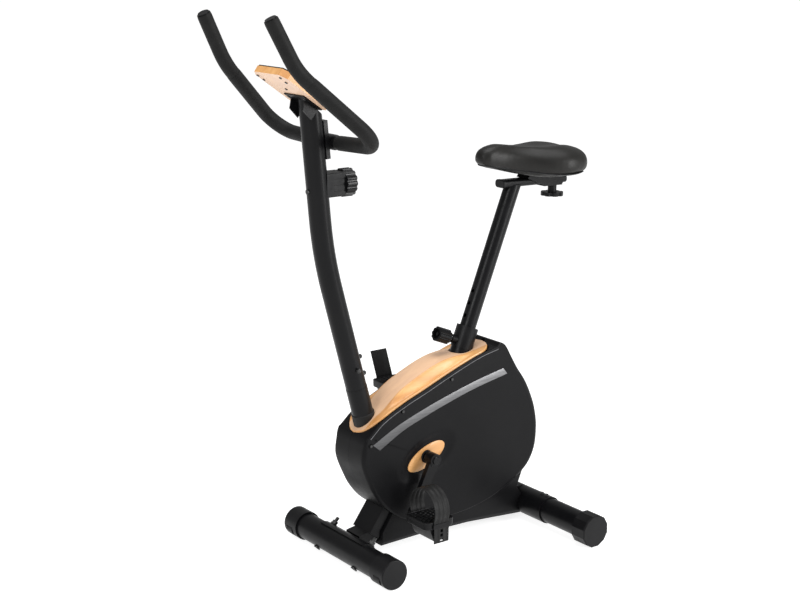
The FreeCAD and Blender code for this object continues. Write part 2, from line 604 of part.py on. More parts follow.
def seat():
    rear, front = BAR_ENDS[1], BAR_ENDS[0]
    bar = block(-BAR_HALF_X, BAR_HALF_X, front, rear, -BAR_HALF_Z, BAR_HALF_Z)
    bar = bar.makeFillet(BAR_ROUND, [e for e in bar.Edges if e.BoundBox.YLength > rear])
    above_post = on_bar(block(-60, 60, -200, 60, -4, 120))
    post = pipe(SEAT_POST_R, SEAT_POST_R - 2, seat_point(SEAT_POST_FROM), seat_point(SEAT_POST_TO))
    holes = []
    for step in range(9):
        along = LOCK_AT - 120 + 30 * step
        holes.append(rod(4.6, seat_point(along, 15), seat_point(along, 25)))
    save("seat_post", keep_largest(cut_all(post, holes + [above_post, on_bar(bar.copy())])))

    slot = block(-5, 5, 16, rear - 4, -BAR_HALF_Z, BAR_HALF_Z)
    inner = block(-BAR_HALF_X + 2, BAR_HALF_X - 2, front, rear, -BAR_HALF_Z + 2, BAR_HALF_Z - 2)
    inner = inner.makeFillet(BAR_ROUND - 2, [e for e in inner.Edges if e.BoundBox.YLength > rear])
    save("seat_slide_bar", on_bar(bar.cut(inner).cut(slot)))
    front_cap = bar_cap(-front, 0.6).mirror(vec(0, 0, 0), vec(0, 1, 0))
    save("slide_bar_caps", group([on_bar(bar_cap(rear, 0)), on_bar(front_cap)]))

    low, high = -BAR_HALF_Z - CLEAR, BAR_HALF_Z + CLEAR
    half = BRACKET_HALF
    shoe = slab([(-32, high), (-8, BRACKET_TOP), (80, BRACKET_TOP), (80, high)], -half, half)
    cheeks = []
    for x0, x1 in ((BAR_HALF_X + CLEAR, half), (-half, -BAR_HALF_X - CLEAR)):
        cheeks.append(slab([(-32, high), (80, high), (80, low + 4), (76, low), (20, low)], x0, x1))
    floor_plate = block(-half, half, 20, 76, low - 3, low)
    bracket = fuse_all([shoe, floor_plate] + cheeks)
    stem_y = SADDLE_KNOB_Y - BAR_Y
    bracket = bracket.cut(rod(4 + RUN_GAP, (0, stem_y, low - 5), (0, stem_y, 30)))
    save("saddle_bracket", on_bar(bracket))
    hub_top = low - 3 - CLEAR
    knob = fluted_disc(27, 9, (0, stem_y, hub_top - 27), (0, 0, 1), 8, 6)
    hub = rod(10.5, (0, stem_y, hub_top - 19), (0, stem_y, hub_top))
    stem = rod(4, (0, stem_y, hub_top - 19), (0, stem_y, 28))
    save("saddle_knob", on_bar(fuse_all([knob, hub, stem])))
    saddle()
    seat_lock()


def saddle_section(y, half, top, bottom):
    """One section across the saddle: a rounded top over nearly upright sides."""
    height = (top - bottom) / 2
    points = []
    for step in range(16):
        angle = math.pi * step / 8
        across, up = math.cos(angle), math.sin(angle)
        power = 0.9 if up >= 0 else 0.6
        x = half * math.copysign(abs(across) ** power, across)
        points.append(vec(x, y, bottom + height * (1 + math.copysign(abs(up) ** power, up))))
    curve = Part.BSplineCurve()
    curve.interpolate(Points=points, PeriodicFlag=True)
    return Part.Wire(curve.toShape())


def saddle():
    pad = Part.makeLoft([saddle_section(*row) for row in SADDLE_SECTIONS], True, False)
    pan_rows = []
    for y, half, top, bottom in SADDLE_SECTIONS[1:-1]:
        pan_rows.append(saddle_section(y, half - 9, bottom + 8, bottom - 4))
    pan = Part.makeLoft(pan_rows, True, False)
    bracket_room = on_bar(block(-BRACKET_HALF - 1, BRACKET_HALF + 1, -60, 120, -20, BRACKET_TOP))
    save("saddle_pad", keep_largest(pad.cut(pan).cut(bracket_room)))
    save("saddle_base", keep_largest(pan.cut(bracket_room)))


def seat_lock():
    shank = rod(6, seat_point(LOCK_AT, 27), seat_point(LOCK_AT, 49))
    shank = shank.fuse(hexagon(14, seat_point(LOCK_AT, 40 + CLEAR), seat_point(LOCK_AT, 49))).removeSplitter()
    bore = rod(4 + RUN_GAP, seat_point(LOCK_AT, 20), seat_point(LOCK_AT, 60))
    save("seat_lock_shank", shank.cut(bore))
    lean = math.radians(SEAT_LEAN)
    out = (0, -math.cos(lean), math.sin(lean))
    grip = fluted_disc(17.5, 34, seat_point(LOCK_AT, 50), out, 10, 3.2)
    dish = rod(12, seat_point(LOCK_AT, 76), seat_point(LOCK_AT, 84))
    button = rod(4, seat_point(LOCK_AT, 76), seat_point(LOCK_AT, 82))
    pin = rod(4, seat_point(LOCK_AT, SEAT_POST_R + CLEAR), seat_point(LOCK_AT, 55))
    save("seat_lock_knob", fuse_all([grip.cut(dish), button, pin]))


# ---------------------------------------------------------------- drive

def crank_end(sign):
    """The pedal's place at the end of a crank: +1 for the left one."""
    angle = math.radians(CRANK_ANGLE)
    y = CRANK_Y - sign * CRANK_LEN * math.sin(angle)
    z = CRANK_Z - sign * CRANK_LEN * math.cos(angle)
    return y, z


def crank_arm(sign):
    x0, x1 = CRANK_X
    y, z = crank_end(sign)
    hub = rod_x(15, CRANK_Y, CRANK_Z, 69, x1 + 2)
    eye = rod_x(13, y, z, x0, x1)
    along = vec(0, y - CRANK_Y, z - CRANK_Z).normalize()
    side = vec(0, -along.z, along.y)
    corners = []
    for base, half in ((vec(x0, CRANK_Y, CRANK_Z), 13), (vec(x0, y, z), 10)):
        corners.append(((base + side * half), (base - side * half)))
    outline = [corners[0][0], corners[0][1], corners[1][1], corners[1][0], corners[0][0]]
    web = Part.Face(Part.makePolygon(outline)).extrude(vec(x1 - x0, 0, 0))
    arm = fuse_all([hub, eye, web])
    arm = arm.cut(rod_x(AXLE_R, CRANK_Y, CRANK_Z, 60, AXLE_HALF))
    arm = arm.cut(rod_x(SPINDLE_R, y, z, x0, x1 + 5))
    return arm if sign > 0 else mirrored(arm)


def drive():
    save("crank_left", crank_arm(1))
    save("crank_right", crank_arm(-1))
    save("crank_axle", rod_x(AXLE_R, CRANK_Y, CRANK_Z, -AXLE_HALF, AXLE_HALF))
    bolt = rod_x(9.5, CRANK_Y, CRANK_Z, CRANK_X[1] + 2, CRANK_X[1] + 5)
    bolt = bolt.makeFillet(1.5, [e for e in bolt.Edges if e.BoundBox.XMin > CRANK_X[1] + 4])
    save("crank_bolt_caps", group(both_sides(bolt)))

    x0, x1 = PULLEY_X
    pulley = rod_x(PULLEY_R + 3, CRANK_Y, CRANK_Z, x0, x1)
    groove = pipe_x(PULLEY_R + 10, PULLEY_R, CRANK_Y, CRANK_Z, BELT_X[0] - 1, BELT_X[1] + 1)
    windows = []
    for step in range(5):
        angle = 2 * math.pi * step / 5
        centre = (CRANK_Y + 58 * math.cos(angle), CRANK_Z + 58 * math.sin(angle))
        windows.append(rod_x(22, *centre, x0, x1))
    shaft = rod_x(AXLE_R, CRANK_Y, CRANK_Z, x0, x1)
    save("drive_pulley", cut_all(pulley, [groove, shaft] + windows))

    flywheel = rod_x(WHEEL_R, WHEEL_Y, WHEEL_Z, -WHEEL_HALF, WHEEL_HALF)
    for x0w, x1w in ((6, WHEEL_HALF), (-WHEEL_HALF, -6)):
        flywheel = flywheel.cut(pipe_x(WHEEL_R - 20, 26, WHEEL_Y, WHEEL_Z, x0w, x1w))
    save("flywheel", flywheel.cut(rod_x(6, WHEEL_Y, WHEEL_Z, -WHEEL_HALF, WHEEL_HALF)))
    axle = rod_x(6, WHEEL_Y, WHEEL_Z, -34, 52)
    small = rod_x(SMALL_PULLEY_R + 2, WHEEL_Y, WHEEL_Z, x0, x1)
    belt_groove = pipe_x(SMALL_PULLEY_R + 9, SMALL_PULLEY_R, WHEEL_Y, WHEEL_Z, BELT_X[0] - 1, BELT_X[1] + 1)
    small = small.cut(belt_groove)
    small = small.cut(rod_x(6, WHEEL_Y, WHEEL_Z, x0, x1))
    save("flywheel_axle", group([axle, small]))
    save("drive_belt", belt())


def belt_loop(extra):
    """A solid filled with the outline of a loop round both pulleys."""
    r1 = PULLEY_R + extra
    r2 = SMALL_PULLEY_R + extra
    dy, dz = WHEEL_Y - CRANK_Y, WHEEL_Z - CRANK_Z
    distance = math.hypot(dy, dz)
    slope = math.atan2(dz, dy)
    spread = math.acos((r1 - r2) / distance)
    corners = []
    for y, z, r, turn in (
        (CRANK_Y, CRANK_Z, r1, spread), (WHEEL_Y, WHEEL_Z, r2, spread),
        (WHEEL_Y, WHEEL_Z, r2, -spread), (CRANK_Y, CRANK_Z, r1, -spread),
    ):
        corners.append((y + r * math.cos(slope + turn), z + r * math.sin(slope + turn)))
    x0, x1 = BELT_X
    wheels = [rod_x(r1, CRANK_Y, CRANK_Z, x0, x1), rod_x(r2, WHEEL_Y, WHEEL_Z, x0, x1)]
    return fuse_all([slab(corners, x0, x1)] + wheels)


def belt():
    return belt_loop(CLEAR + BELT_T).cut(belt_loop(CLEAR))


def pedals():
    x0, x1 = PEDAL_X
    spindles = []
    for sign, side in ((1, "left"), (-1, "right")):
        y, z = crank_end(sign)
        spindle = rod_x(SPINDLE_R, y, z, CRANK_X[0], x1 - 6)
        top = z + 12
        body = block(x0, x1, y - PEDAL_HALF_Y, y + PEDAL_HALF_Y, z - 7, top)
        body = body.makeFillet(12, [e for e in body.Edges if e.BoundBox.ZLength > 15])
        keel = slab([(y - 26, z - 7), (y + 26, z - 7), (y + 15, z - 38), (y - 15, z - 38)], x0 + 4, x1 - 2)
        keel = keel.makeFillet(5, [e for e in keel.Edges if e.BoundBox.ZMax < z - 36])
        body = fuse_all([body, keel])
        body = body.cut(rod_x(SPINDLE_R + RUN_GAP, y, z, x0, x1 - 6 + CLEAR))
        strap = pedal_strap(y, z, top) if sign > 0 else loose_strap(y, z, top)
        if sign < 0:
            spindle, body, strap = mirrored(spindle), mirrored(body), mirrored(strap)
        spindles.append(spindle)
        save("pedal_" + side, body)
        save("pedal_strap_" + side, strap)
    save("pedal_spindles", group(spindles))


def pedal_strap(y, z, top):
    """A band that arches over the pedal and hangs past its outer edge."""
    x0, x1 = PEDAL_X[0] - STRAP_T - CLEAR, PEDAL_X[1] + STRAP_T + CLEAR
    middle = (x0 + x1) / 2

    def arch(inset):
        half = (x1 - x0) / 2 - inset
        start, end = vec(middle + half, 0, top), vec(middle - half, 0, top)
        curve = Part.Arc(start, vec(middle, 0, top + STRAP_RISE - inset), end).toShape()
        return Part.Face(Part.Wire([curve, Part.makeLine(end, start)]))

    band = arch(0).cut(arch(STRAP_T)).extrude(vec(0, 2 * STRAP_HALF_Y, 0))
    band.translate(vec(0, y - STRAP_HALF_Y, 0))
    inner = block(x0, x0 + STRAP_T, y - STRAP_HALF_Y, y + STRAP_HALF_Y, z + SPINDLE_R + 1, top)
    outer = block(x1 - STRAP_T, x1, y - STRAP_HALF_Y, y + STRAP_HALF_Y, z - 40, top)
    return fuse_all([band, inner, outer])


def loose_strap(y, z, top):
    """A strap that has been undone: it stands on the pedal's outer edge and leans outwards."""
    x0, x1 = PEDAL_X[1] + CLEAR, PEDAL_X[1] + CLEAR + STRAP_T
    lean = math.radians(LOOSE_STRAP_LEAN)
    dx, dz = LOOSE_STRAP_LEN * math.sin(lean), LOOSE_STRAP_LEN * math.cos(lean)
    near, far = y - STRAP_HALF_Y - 3, y + STRAP_HALF_Y + 3
    outline = [(x0, z - 6), (x1, z - 6), (x1, top), (x1 + dx, top + dz), (x0 + dx, top + dz), (x0, top), (x0, z - 6)]
    wire = Part.makePolygon([vec(px, near, pz) for px, pz in outline])
    return Part.Face(wire).extrude(vec(0, far - near, 0))


def magnet_brake():
    shoe = ring_sector(*SHOE_R, WHEEL_Y, WHEEL_Z, -12, 12, *SHOE_ARC)
    magnets = []
    for angle in MAGNET_ANGLES:
        magnets.append(ring_sector(*MAGNET_R, WHEEL_Y, WHEEL_Z, -10, 10, angle - 7, angle + 7))
    pieces = [shoe] + magnets
    for x0, x1 in ((5.5, 9), (-9, -5.5)):
        ear = slab([(138, 335), (168, 333), (172, 343), (146, 350), (138, 348)], x0, x1)
        pieces.append(ear.cut(rod_x(WHEEL_R + 5, WHEEL_Y, WHEEL_Z, x0, x1)))
    pieces.append(rod_x(4 - RUN_GAP, ARM_Y, ARM_Z, -9, 9))
    save("magnet_arm", fuse_all(pieces))


# ---------------------------------------------------------------- housing

def inset_points(points, inset):
    """Moves the points of a closed, anticlockwise (y, z) outline inwards."""
    moved = []
    for index, (y, z) in enumerate(points):
        (y0, z0), (y1, z1) = points[index - 1], points[(index + 1) % len(points)]
        length = math.hypot(y1 - y0, z1 - z0)
        moved.append((y - inset * (z1 - z0) / length, z + inset * (y1 - y0) / length))
    return moved


def housing_solid(inset):
    """The whole housing without its cut-outs, moved inwards by inset."""
    curve = Part.BSplineCurve()
    outline = inset_points(HOUSING_OUTLINE, inset)
    curve.interpolate(Points=[vec(0, y, z) for y, z in outline], PeriodicFlag=True)
    half = HOUSING_HALF - inset
    drum = Part.Face(Part.Wire(curve.toShape())).extrude(vec(2 * half, 0, 0))
    drum.translate(vec(-half, 0, 0))
    drum = drum.makeFillet(HOUSING_ROUND - inset, [e for e in drum.Edges if e.BoundBox.XLength < 1])
    skirt_half = SKIRT_HALF - inset
    skirt = slab(SKIRT_OUTLINE, -skirt_half, skirt_half)
    if inset:
        skirt = slab(SKIRT_INNER, -skirt_half, skirt_half)
    return drum.fuse(skirt).removeSplitter()


def cover_footprint(gap):
    """An upright prism with the cover's plan outline: straight sides and oval ends."""
    y0, y1 = COVER_ENDS[0] - gap, COVER_ENDS[1] + gap
    half = COVER_HALF + gap
    front, rear = 54.0, 46.0
    z = 200.0
    points = [vec(half, y0 + front, z), vec(half, y1 - rear, z)]
    edges = [Part.makeLine(*points)]
    for centre_y, reach in ((y1 - rear, rear), (y0 + front, -front)):
        side = half if reach > 0 else -half
        mid = math.sqrt(0.5)
        arc = Part.BSplineCurve()
        arc.interpolate(Points=[
            vec(side, centre_y, z), vec(side * 0.9239, centre_y + reach * 0.3827, z),
            vec(side * mid, centre_y + reach * mid, z), vec(side * 0.3827, centre_y + reach * 0.9239, z),
            vec(0, centre_y + reach, z), vec(-side * 0.3827, centre_y + reach * 0.9239, z),
            vec(-side * mid, centre_y + reach * mid, z), vec(-side * 0.9239, centre_y + reach * 0.3827, z),
            vec(-side, centre_y, z)])
        edges.append(arc.toShape())
    edges.insert(2, Part.makeLine(vec(-half, y1 - rear, z), vec(-half, y0 + front, z)))
    return Part.Face(Part.Wire(edges)).extrude(vec(0, 0, 300))


def border_z(y):
    """Height of the cover's border at a place along the bike."""
    for (y0, z0), (y1, z1) in zip(COVER_BORDER, COVER_BORDER[1:]):
        if y <= y1:
            return z0 + (z1 - z0) * (y - y0) / (y1 - y0)
    return COVER_BORDER[-1][1]


def cover_section(y, rise, drop):
    """One section across the cover: flat flanges, sloping flanks and a crowned middle."""
    z = border_z(max(min(y, COVER_ENDS[1]), COVER_ENDS[0])) - drop
    half = COVER_HALF + 4
    line = [(half, 0), (44, 1 + 0.05 * rise), (33, rise * 0.75), (18, rise * 0.95), (0, rise * 1.0)]
    points = [vec(x, y, z + h) for x, h in line] + [vec(-x, y, z + h) for x, h in reversed(line[:-1])]
    curve = Part.BSplineCurve()
    curve.interpolate(Points=points)
    low = 40.0
    rail = [vec(-half, y, z), vec(-half, y, z - low), vec(half, y, z - low), vec(half, y, z)]
    return Part.Wire([curve.toShape()] + [Part.makeLine(a, b) for a, b in zip(rail, rail[1:])])


def cover_surface(drop):
    sections = [cover_section(y, rise, drop) for y, rise in COVER_RISE]
    return Part.makeLoft(sections, True, False)


def housing():
    low, high = stub_line()
    post_hole = rod(POST_STUB_R + CLEAR, low, high)
    seat_hole = rod(SEAT_COLLAR_R + CLEAR, seat_point(-120), seat_point(40))
    footprint = cover_footprint(0)
    cover = cover_surface(0).cut(cover_surface(COVER_WALL)).common(footprint)
    cover = cut_all(cover, [post_hole, seat_hole, rod(22, seat_point(LOCK_AT, 20), seat_point(LOCK_AT, 110))])
    save("top_cover", keep_largest(cover))

    shell = housing_solid(0).cut(housing_solid(HOUSING_WALL))
    opening = cover_footprint(CLEAR)
    leg_hole = slab(LEG_OUTLINE, -LEG_HALF - CLEAR, LEG_HALF + CLEAR)
    foot_hole = slab(FOOT_OUTLINE, -FOOT_HALF - CLEAR, FOOT_HALF + CLEAR)
    sleeve_hole = rod_x(SLEEVE_R + CLEAR, REAR_Y, REAR_Z, -SLEEVE_HALF, SLEEVE_HALF)
    plate_hole = rod_x(PLATE_R + CLEAR, FRONT_Y, FRONT_Z, -PLATE_HALF, PLATE_HALF)
    axle_hole = rod_x(16, CRANK_Y, CRANK_Z, -HOUSING_HALF, HOUSING_HALF)
    holes = [post_hole, opening, leg_hole, foot_hole, sleeve_hole, plate_hole, axle_hole]
    beam_half = BEAM_HALF + CLEAR
    for y0, y1 in ((BEAM_FRONT, -90), (250, REAR_Y)):
        holes.append(block(-beam_half, beam_half, y0, y1, BEAM_Z[0] - CLEAR, BEAM_Z[1] + CLEAR))
    shell = cut_all(shell, holes)
    trims = trim_solids()
    for pocket in trims["pockets"]:
        shell = shell.cut(pocket)
    for side, x0, x1 in (("left", 0, 80), ("right", -80, 0)):
        half = shell.common(block(x0, x1, -300, 400, 0, 600))
        save("housing_" + side, keep_largest(half))
    save("wood_ovals", group(trims["ovals"]))
    save("silver_stripes", group(trims["stripes"]))


def trim_solids():
    """The raised trims of both sides, and the shallow pockets that they sit in."""
    deep, proud = 1.2, 0.8
    x0, x1 = HOUSING_HALF - deep, HOUSING_HALF + proud
    stripe_wire = []
    for row in (STRIPE_UPPER, STRIPE_LOWER):
        curve = Part.BSplineCurve()
        curve.interpolate(Points=[vec(x0, y, z) for y, z in row])
        stripe_wire.append(curve.toShape())
    ends = [(STRIPE_UPPER[-1], STRIPE_LOWER[0]), (STRIPE_LOWER[-1], STRIPE_UPPER[0])]
    for (ya, za), (yb, zb) in ends:
        stripe_wire.append(Part.makeLine(vec(x0, ya, za), vec(x0, yb, zb)))
    ordered = [stripe_wire[0], stripe_wire[2], stripe_wire[1], stripe_wire[3]]
    stripe = Part.Face(Part.Wire(ordered)).extrude(vec(x1 - x0, 0, 0))
    ellipse = Part.Ellipse(vec(x0, CRANK_Y, CRANK_Z), OVAL_LONG, OVAL_SHORT).toShape()
    ellipse.rotate(vec(x0, CRANK_Y, CRANK_Z), vec(0, 1, 0), 90)
    ellipse.rotate(vec(x0, CRANK_Y, CRANK_Z), vec(1, 0, 0), 90 + OVAL_TILT)
    oval = Part.Face(Part.Wire(ellipse)).extrude(vec(x1 - x0, 0, 0))
    oval = oval.cut(rod_x(16, CRANK_Y, CRANK_Z, x0, x1))
    return {
        "stripes": both_sides(stripe), "ovals": both_sides(oval),
        "pockets": both_sides(stripe) + both_sides(oval),
    }


# ---------------------------------------------------------------- fasteners and leads

def fasteners(console_screws):
    bolts = []
    for x in (-STABILISER_BOLT_X, STABILISER_BOLT_X):
        shank = rod(4, *bolt_line(x, -32, 52))
        head = rod(8, *bolt_line(x, -34, -30.5))
        washer = rod(9, *bolt_line(x, 33.4, 35))
        nut = hexagon(13, *bolt_line(x, 35, 42))
        bolts.append(fuse_all([shank, head, washer, nut]))
    for start, end in post_bolt_lines():
        bolts.append(fuse_all([rod(3.5, start, end), dome_nut(start, end)]))
    for z in CLAMP_BOLT_Z:
        start, end = post_side(z, CLAMP_FACE - 16), post_side(z, CLAMP_FACE)
        bolts.append(fuse_all([rod(3, start, end), dome_nut(start, end)]))
    for x in (92.0, 108.0):
        low = (x, REAR_Y, REAR_Z + SLEEVE_R)
        screw = hexagon(9, low, (x, REAR_Y, REAR_Z + SLEEVE_R + 4))
        bolts += both_sides(screw)
    save("frame_bolts", group(bolts))

    screws = list(console_screws)
    for y, z in HOUSING_SCREWS:
        screws += both_sides(rod_x(3.2, y, z, HOUSING_HALF, HOUSING_HALF + 1.4))
    head = post_point(TENSION_Z - 12, 0, -POST_R - 3)
    screw = rod(5.5, head, post_point(TENSION_Z - 12)).cut(rod(POST_R, post_point(800), post_point(940)))
    screw = keep_largest(screw).fuse(rod(2.4, head, post_point(TENSION_Z - 12, 0, -POST_R + 8)))
    screws.append(screw.removeSplitter())
    save("self_tapping_screws", group(screws))


def dome_nut(start, end):
    """A hexagonal nut with a rounded cap, on the end of a bolt."""
    along = (vec(*end) - vec(*start)).normalize()
    tip = vec(*end)
    nut = hexagon(10, tuple(tip), tuple(tip + along * 4))
    cap = Part.makeSphere(4.6, tip + along * 3.2)
    return nut.fuse(cap.common(Part.makeCylinder(6, 8, tip, along))).removeSplitter()


def cable_radii(points):
    """The largest arc that fits between each pair of neighbouring runs."""
    radii = []
    for before, corner, after in zip(points, points[1:], points[2:]):
        back = vec(*before) - vec(*corner)
        ahead = vec(*after) - vec(*corner)
        turn = math.pi - back.getAngle(ahead)
        radii.append(0.45 * min(back.Length, ahead.Length) / math.tan(turn / 2))
    return radii


def leads():
    path = rounded_path(CABLE_ROUTE, cable_radii(CABLE_ROUTE))
    cable = sweep(path, CABLE_R)
    length = sum(edge.Length for edge in path)
    print("brake cable:", round(length), "mm long, volume ratio",
          round(cable.Volume / (length * math.pi * CABLE_R ** 2), 3))
    save("brake_cable", cable)
    sensor = block(14, 26, -60, -30, 250, 262).fuse(block(3, 14, -48, -42, 240, 262)).removeSplitter()
    save("speed_sensor", sensor.cut(rod_x(SHELL_R, CRANK_Y, CRANK_Z, -SHELL_HALF, SHELL_HALF)))


os.makedirs("parts", exist_ok=True)
front_stabiliser()
rear_stabiliser()
base_frame()
seat_frame()
handlebar_post()
clamp()
tension_control()
handlebar()
fasteners(console())
seat()
drive()
pedals()
magnet_brake()
housing()
leads()
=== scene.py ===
import math
import random

import bmesh
import bpy
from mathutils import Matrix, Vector
from mathutils.bvhtree import BVHTree


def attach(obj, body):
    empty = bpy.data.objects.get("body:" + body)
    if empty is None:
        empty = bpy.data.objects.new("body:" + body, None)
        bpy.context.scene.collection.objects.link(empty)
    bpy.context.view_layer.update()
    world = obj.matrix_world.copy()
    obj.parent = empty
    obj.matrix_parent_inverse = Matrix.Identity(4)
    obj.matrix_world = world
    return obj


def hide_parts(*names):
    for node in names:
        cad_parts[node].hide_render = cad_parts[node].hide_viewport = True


# Upright exercise bike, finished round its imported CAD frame. +Z is up, +X is the rider's left, -Y is forward.
# Shapes are worked out in millimetres and become metres when their mesh is made. Upright outlines are (y, z).
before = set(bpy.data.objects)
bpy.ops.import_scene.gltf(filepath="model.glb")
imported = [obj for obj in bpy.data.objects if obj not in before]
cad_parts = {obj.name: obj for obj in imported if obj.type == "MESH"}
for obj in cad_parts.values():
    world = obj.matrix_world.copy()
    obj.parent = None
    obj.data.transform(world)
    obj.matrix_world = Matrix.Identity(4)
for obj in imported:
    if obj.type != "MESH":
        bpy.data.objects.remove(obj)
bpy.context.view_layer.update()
MM = 0.001

# Studio
STUDIO_FILL, FLOOR_GLOW = 0.42, 0.82
FLOOR_HALF, FLOOR_Z = 60000, -0.4
LIGHTS_AIM = (0, 0, 0.6)
# Lights: name, place, size, power
LIGHTS = (
    ("key", (1.2, -3.2, 2.2), (1.2, 1.8), 60),
    ("side", (3.0, 1.9, 1.5), (0.7, 2.4), 110),
    ("top", (0.2, 0.2, 3.6), (2.4, 2.4), 90),
)

# Camera, at the photographed angle
CAMERA_AT = (2.6686, -1.9897, 1.3916)
CAMERA_AZIMUTH, CAMERA_DOWN, CAMERA_LENS, SENSOR = 53.86, 13.69, 68.2, 36.0

# Housing. OUTLINE runs from the cover's front end down, under and up to its rear end
CRANK = (-8.0, 226.0)
DRUM_MIDDLE = (70.0, 250.0)
OUTLINE = (
    (-171, 303), (-179, 283), (-184, 240), (-167, 193), (-144, 151), (-108, 113), (-55, 82), (10, 68),
    (90, 68), (160, 79), (233, 101), (291, 132), (321, 176), (328, 232), (321, 281), (306, 322),
    (288, 357), (264, 391), (241, 426), (227, 448), (215, 458), (203, 459),
)
FACE_X, SHELL_WALL = 62.0, 2.6
EDGE_R, REAR_R, FRONT_R = 2.6, 14.0, 9.0
CHANNEL = ((0.0, 10.0), (4.2, 10.0), (4.6, 3.6), (5.2, 3.0), (6.4, 2.8))
SEAM = 0.15
# Painted highlight: a thin pale strip along each side's top edge, given by its radius and its inset from the
# edge
RIM_HIGHLIGHT_R, RIM_HIGHLIGHT_IN = 0.8, 7.0
AXLE_HOLE = 17.0
DISH_TILT, DISH_LONG, DISH_SHORT, DISH_DEPTH = 24.0, 92.0, 50.0, 6.0
OVAL_LONG, OVAL_SHORT, OVAL_T, OVAL_HOLE_R = 56.0, 24.0, 2.2, 15.5
# From the oval's hole to its edge: share of the way, and how far it stands up
OVAL_SECTION = (
    (0.0, 0.0), (0.0, OVAL_T), (0.12, OVAL_T + 0.5), (0.93, OVAL_T), (0.985, OVAL_T - 0.5), (1.0, 0.0),
)
# Across the stripe: share of its width, and how far it stands up
STRIPE_SECTION = ((0.0, -1.0), (0.0, 0.35), (0.04, 0.6), (0.5, 0.75), (0.96, 0.6), (1.0, 0.35), (1.0, -1.0))
STRIPE_UPPER = ((-158, 283), (-96, 314), (-36, 336), (29, 356), (122, 380), (214, 398))
STRIPE_LOWER = ((-140, 268), (-76, 302), (-11, 325), (33, 339), (122, 363), (226, 383))
HOUSING_SCREWS = ((-165, 283), (-77, 347), (61, 398))
SKIRT = ((-120, 27), (-14, 29), (135, 25), (296, 12), (296, 60), (279, 84), (297, 128), (200, 160), (0, 160),
         (-78, 120), (-120, 60))
SKIRT_X, SKIRT_LIP, SKIRT_LOW = 42.0, 9.0, 35
# Across the skirt: place, lift of its lower edge, and how far its ends draw in
SKIRT_SECTION = (
    (SEAM, 0, 0), (SKIRT_X - 7, 0, 0), (SKIRT_X - 0.8, SKIRT_LIP, 0), (SKIRT_X, SKIRT_LIP + 2, 2),
)

# Wood cover
COVER_HALF, COVER_FRONT, COVER_REAR = 52.0, -170.0, 197.0
FRONT_OVAL, REAR_OVAL, COVER_GAP, COVER_T = 54.0, 46.0, 0.4, 5.0
COVER_BORDER = (
    (-171, 304), (-132, 336), (-67, 367), (-13, 387), (41, 408), (96, 428), (150, 445), (207, 456),
)
COVER_RISE = (
    (-190, 0), (-110, 1), (-92, 8), (-65, 19), (-10, 27), (50, 25), (95, 14), (120, 5), (150, 0.5), (212, 0),
)
CREASE_X, FLANGE_X = 34.0, 44.5
CONSOLE_TILT = math.radians(35.1)
POST_FOOT, POST_BEND = (-98.0, 168.5), (-245.0, 715.0)
POST_HOLE_R, SEAT_HOLE_R = 25.4, 26.6
POST_HOLE_GAP, SEAT_HOLE_GAP = 0.9, 0.5

# Seat tube line
SEAT_BASE, SEAT_LEAN = (156.0, 498.0), math.radians(21.93)

# Saddle stations: y, half width, top, bottom, hollow along the middle
SADDLE = (
    (176, 8, 893, 881, 0), (180, 16, 901, 876, 0), (192, 25, 909, 871, 0), (215, 31, 912, 866, 0),
    (244, 36, 910, 859, 0), (275, 47, 906, 851, 1), (300, 60, 904, 846, 3), (328, 77, 903, 841, 5),
    (356, 90, 903, 838, 7), (384, 97, 904, 837, 8), (412, 95, 903, 838, 8), (438, 86, 900, 840, 7),
    (458, 66, 893, 845, 4), (468, 38, 884, 853, 1),
)

# Handlebar
GRIP_R, BAR_R, CLAMP_AT = 15.5, 12.7, (0.0, -222.0, 958.0)
BAR_TIP, BAR_ELBOW, BAR_CORNER = (132.3, -445.2, 1226.0), (142.0, -393.0, 1122.0), (201.0, -230.0, 966.0)
BAR_ELBOW_R, BAR_CORNER_R = 160.0, 52.0

# Pedals
CRANK_LEN, CRANK_ANGLE = 125.7, math.radians(27.0)
PEDAL_X, PEDAL_HALF_Y, PEDAL_TOP, PEDAL_UNDER = (104.0, 186.0), 40.0, 12.0, 7.0
STRAP_HALF, STRAP_T, STRAP_RISE, STRAP_TAIL = 20.0, 2.5, 66.0, 40.0
LOOSE_HALF, LOOSE_LEN, LOOSE_LEAN = 23.0, 64.0, math.radians(23.0)
# Across a strap: place from edge to edge, and how far it stands up
STRAP_RELIEF = (
    (-1.0, 0.0), (-0.86, 0.6), (-0.8, 0.0), (-0.42, 0.0), (-0.36, 0.7), (-0.18, 0.7), (-0.12, 0.0),
    (0.12, 0.0), (0.18, 0.7), (0.36, 0.7), (0.42, 0.0), (0.8, 0.0), (0.86, 0.6), (1.0, 0.0),
)


# ---------------------------------------------------------------- small helpers

def smooth_step(low, high, value):
    share = max(0.0, min(1.0, (value - low) / (high - low)))
    return share * share * (3 - 2 * share)


def curve_at(points, at):
    """A smooth curve through (position, value) points, read at one position."""
    at = max(points[0][0], min(points[-1][0], at))
    for index, (left, right) in enumerate(zip(points, points[1:])):
        if at <= right[0]:
            break
    span = right[0] - left[0]
    share = (at - left[0]) / span
    before = points[max(index - 1, 0)]
    after = points[min(index + 2, len(points) - 1)]
    slope_left = (right[1] - before[1]) / (right[0] - before[0]) * span
    slope_right = (after[1] - left[1]) / (after[0] - left[0]) * span
    square, cube = share ** 2, share ** 3
    return ((2 * cube - 3 * square + 1) * left[1] + (cube - 2 * square + share) * slope_left
            + (3 * square - 2 * cube) * right[1] + (cube - square) * slope_right)


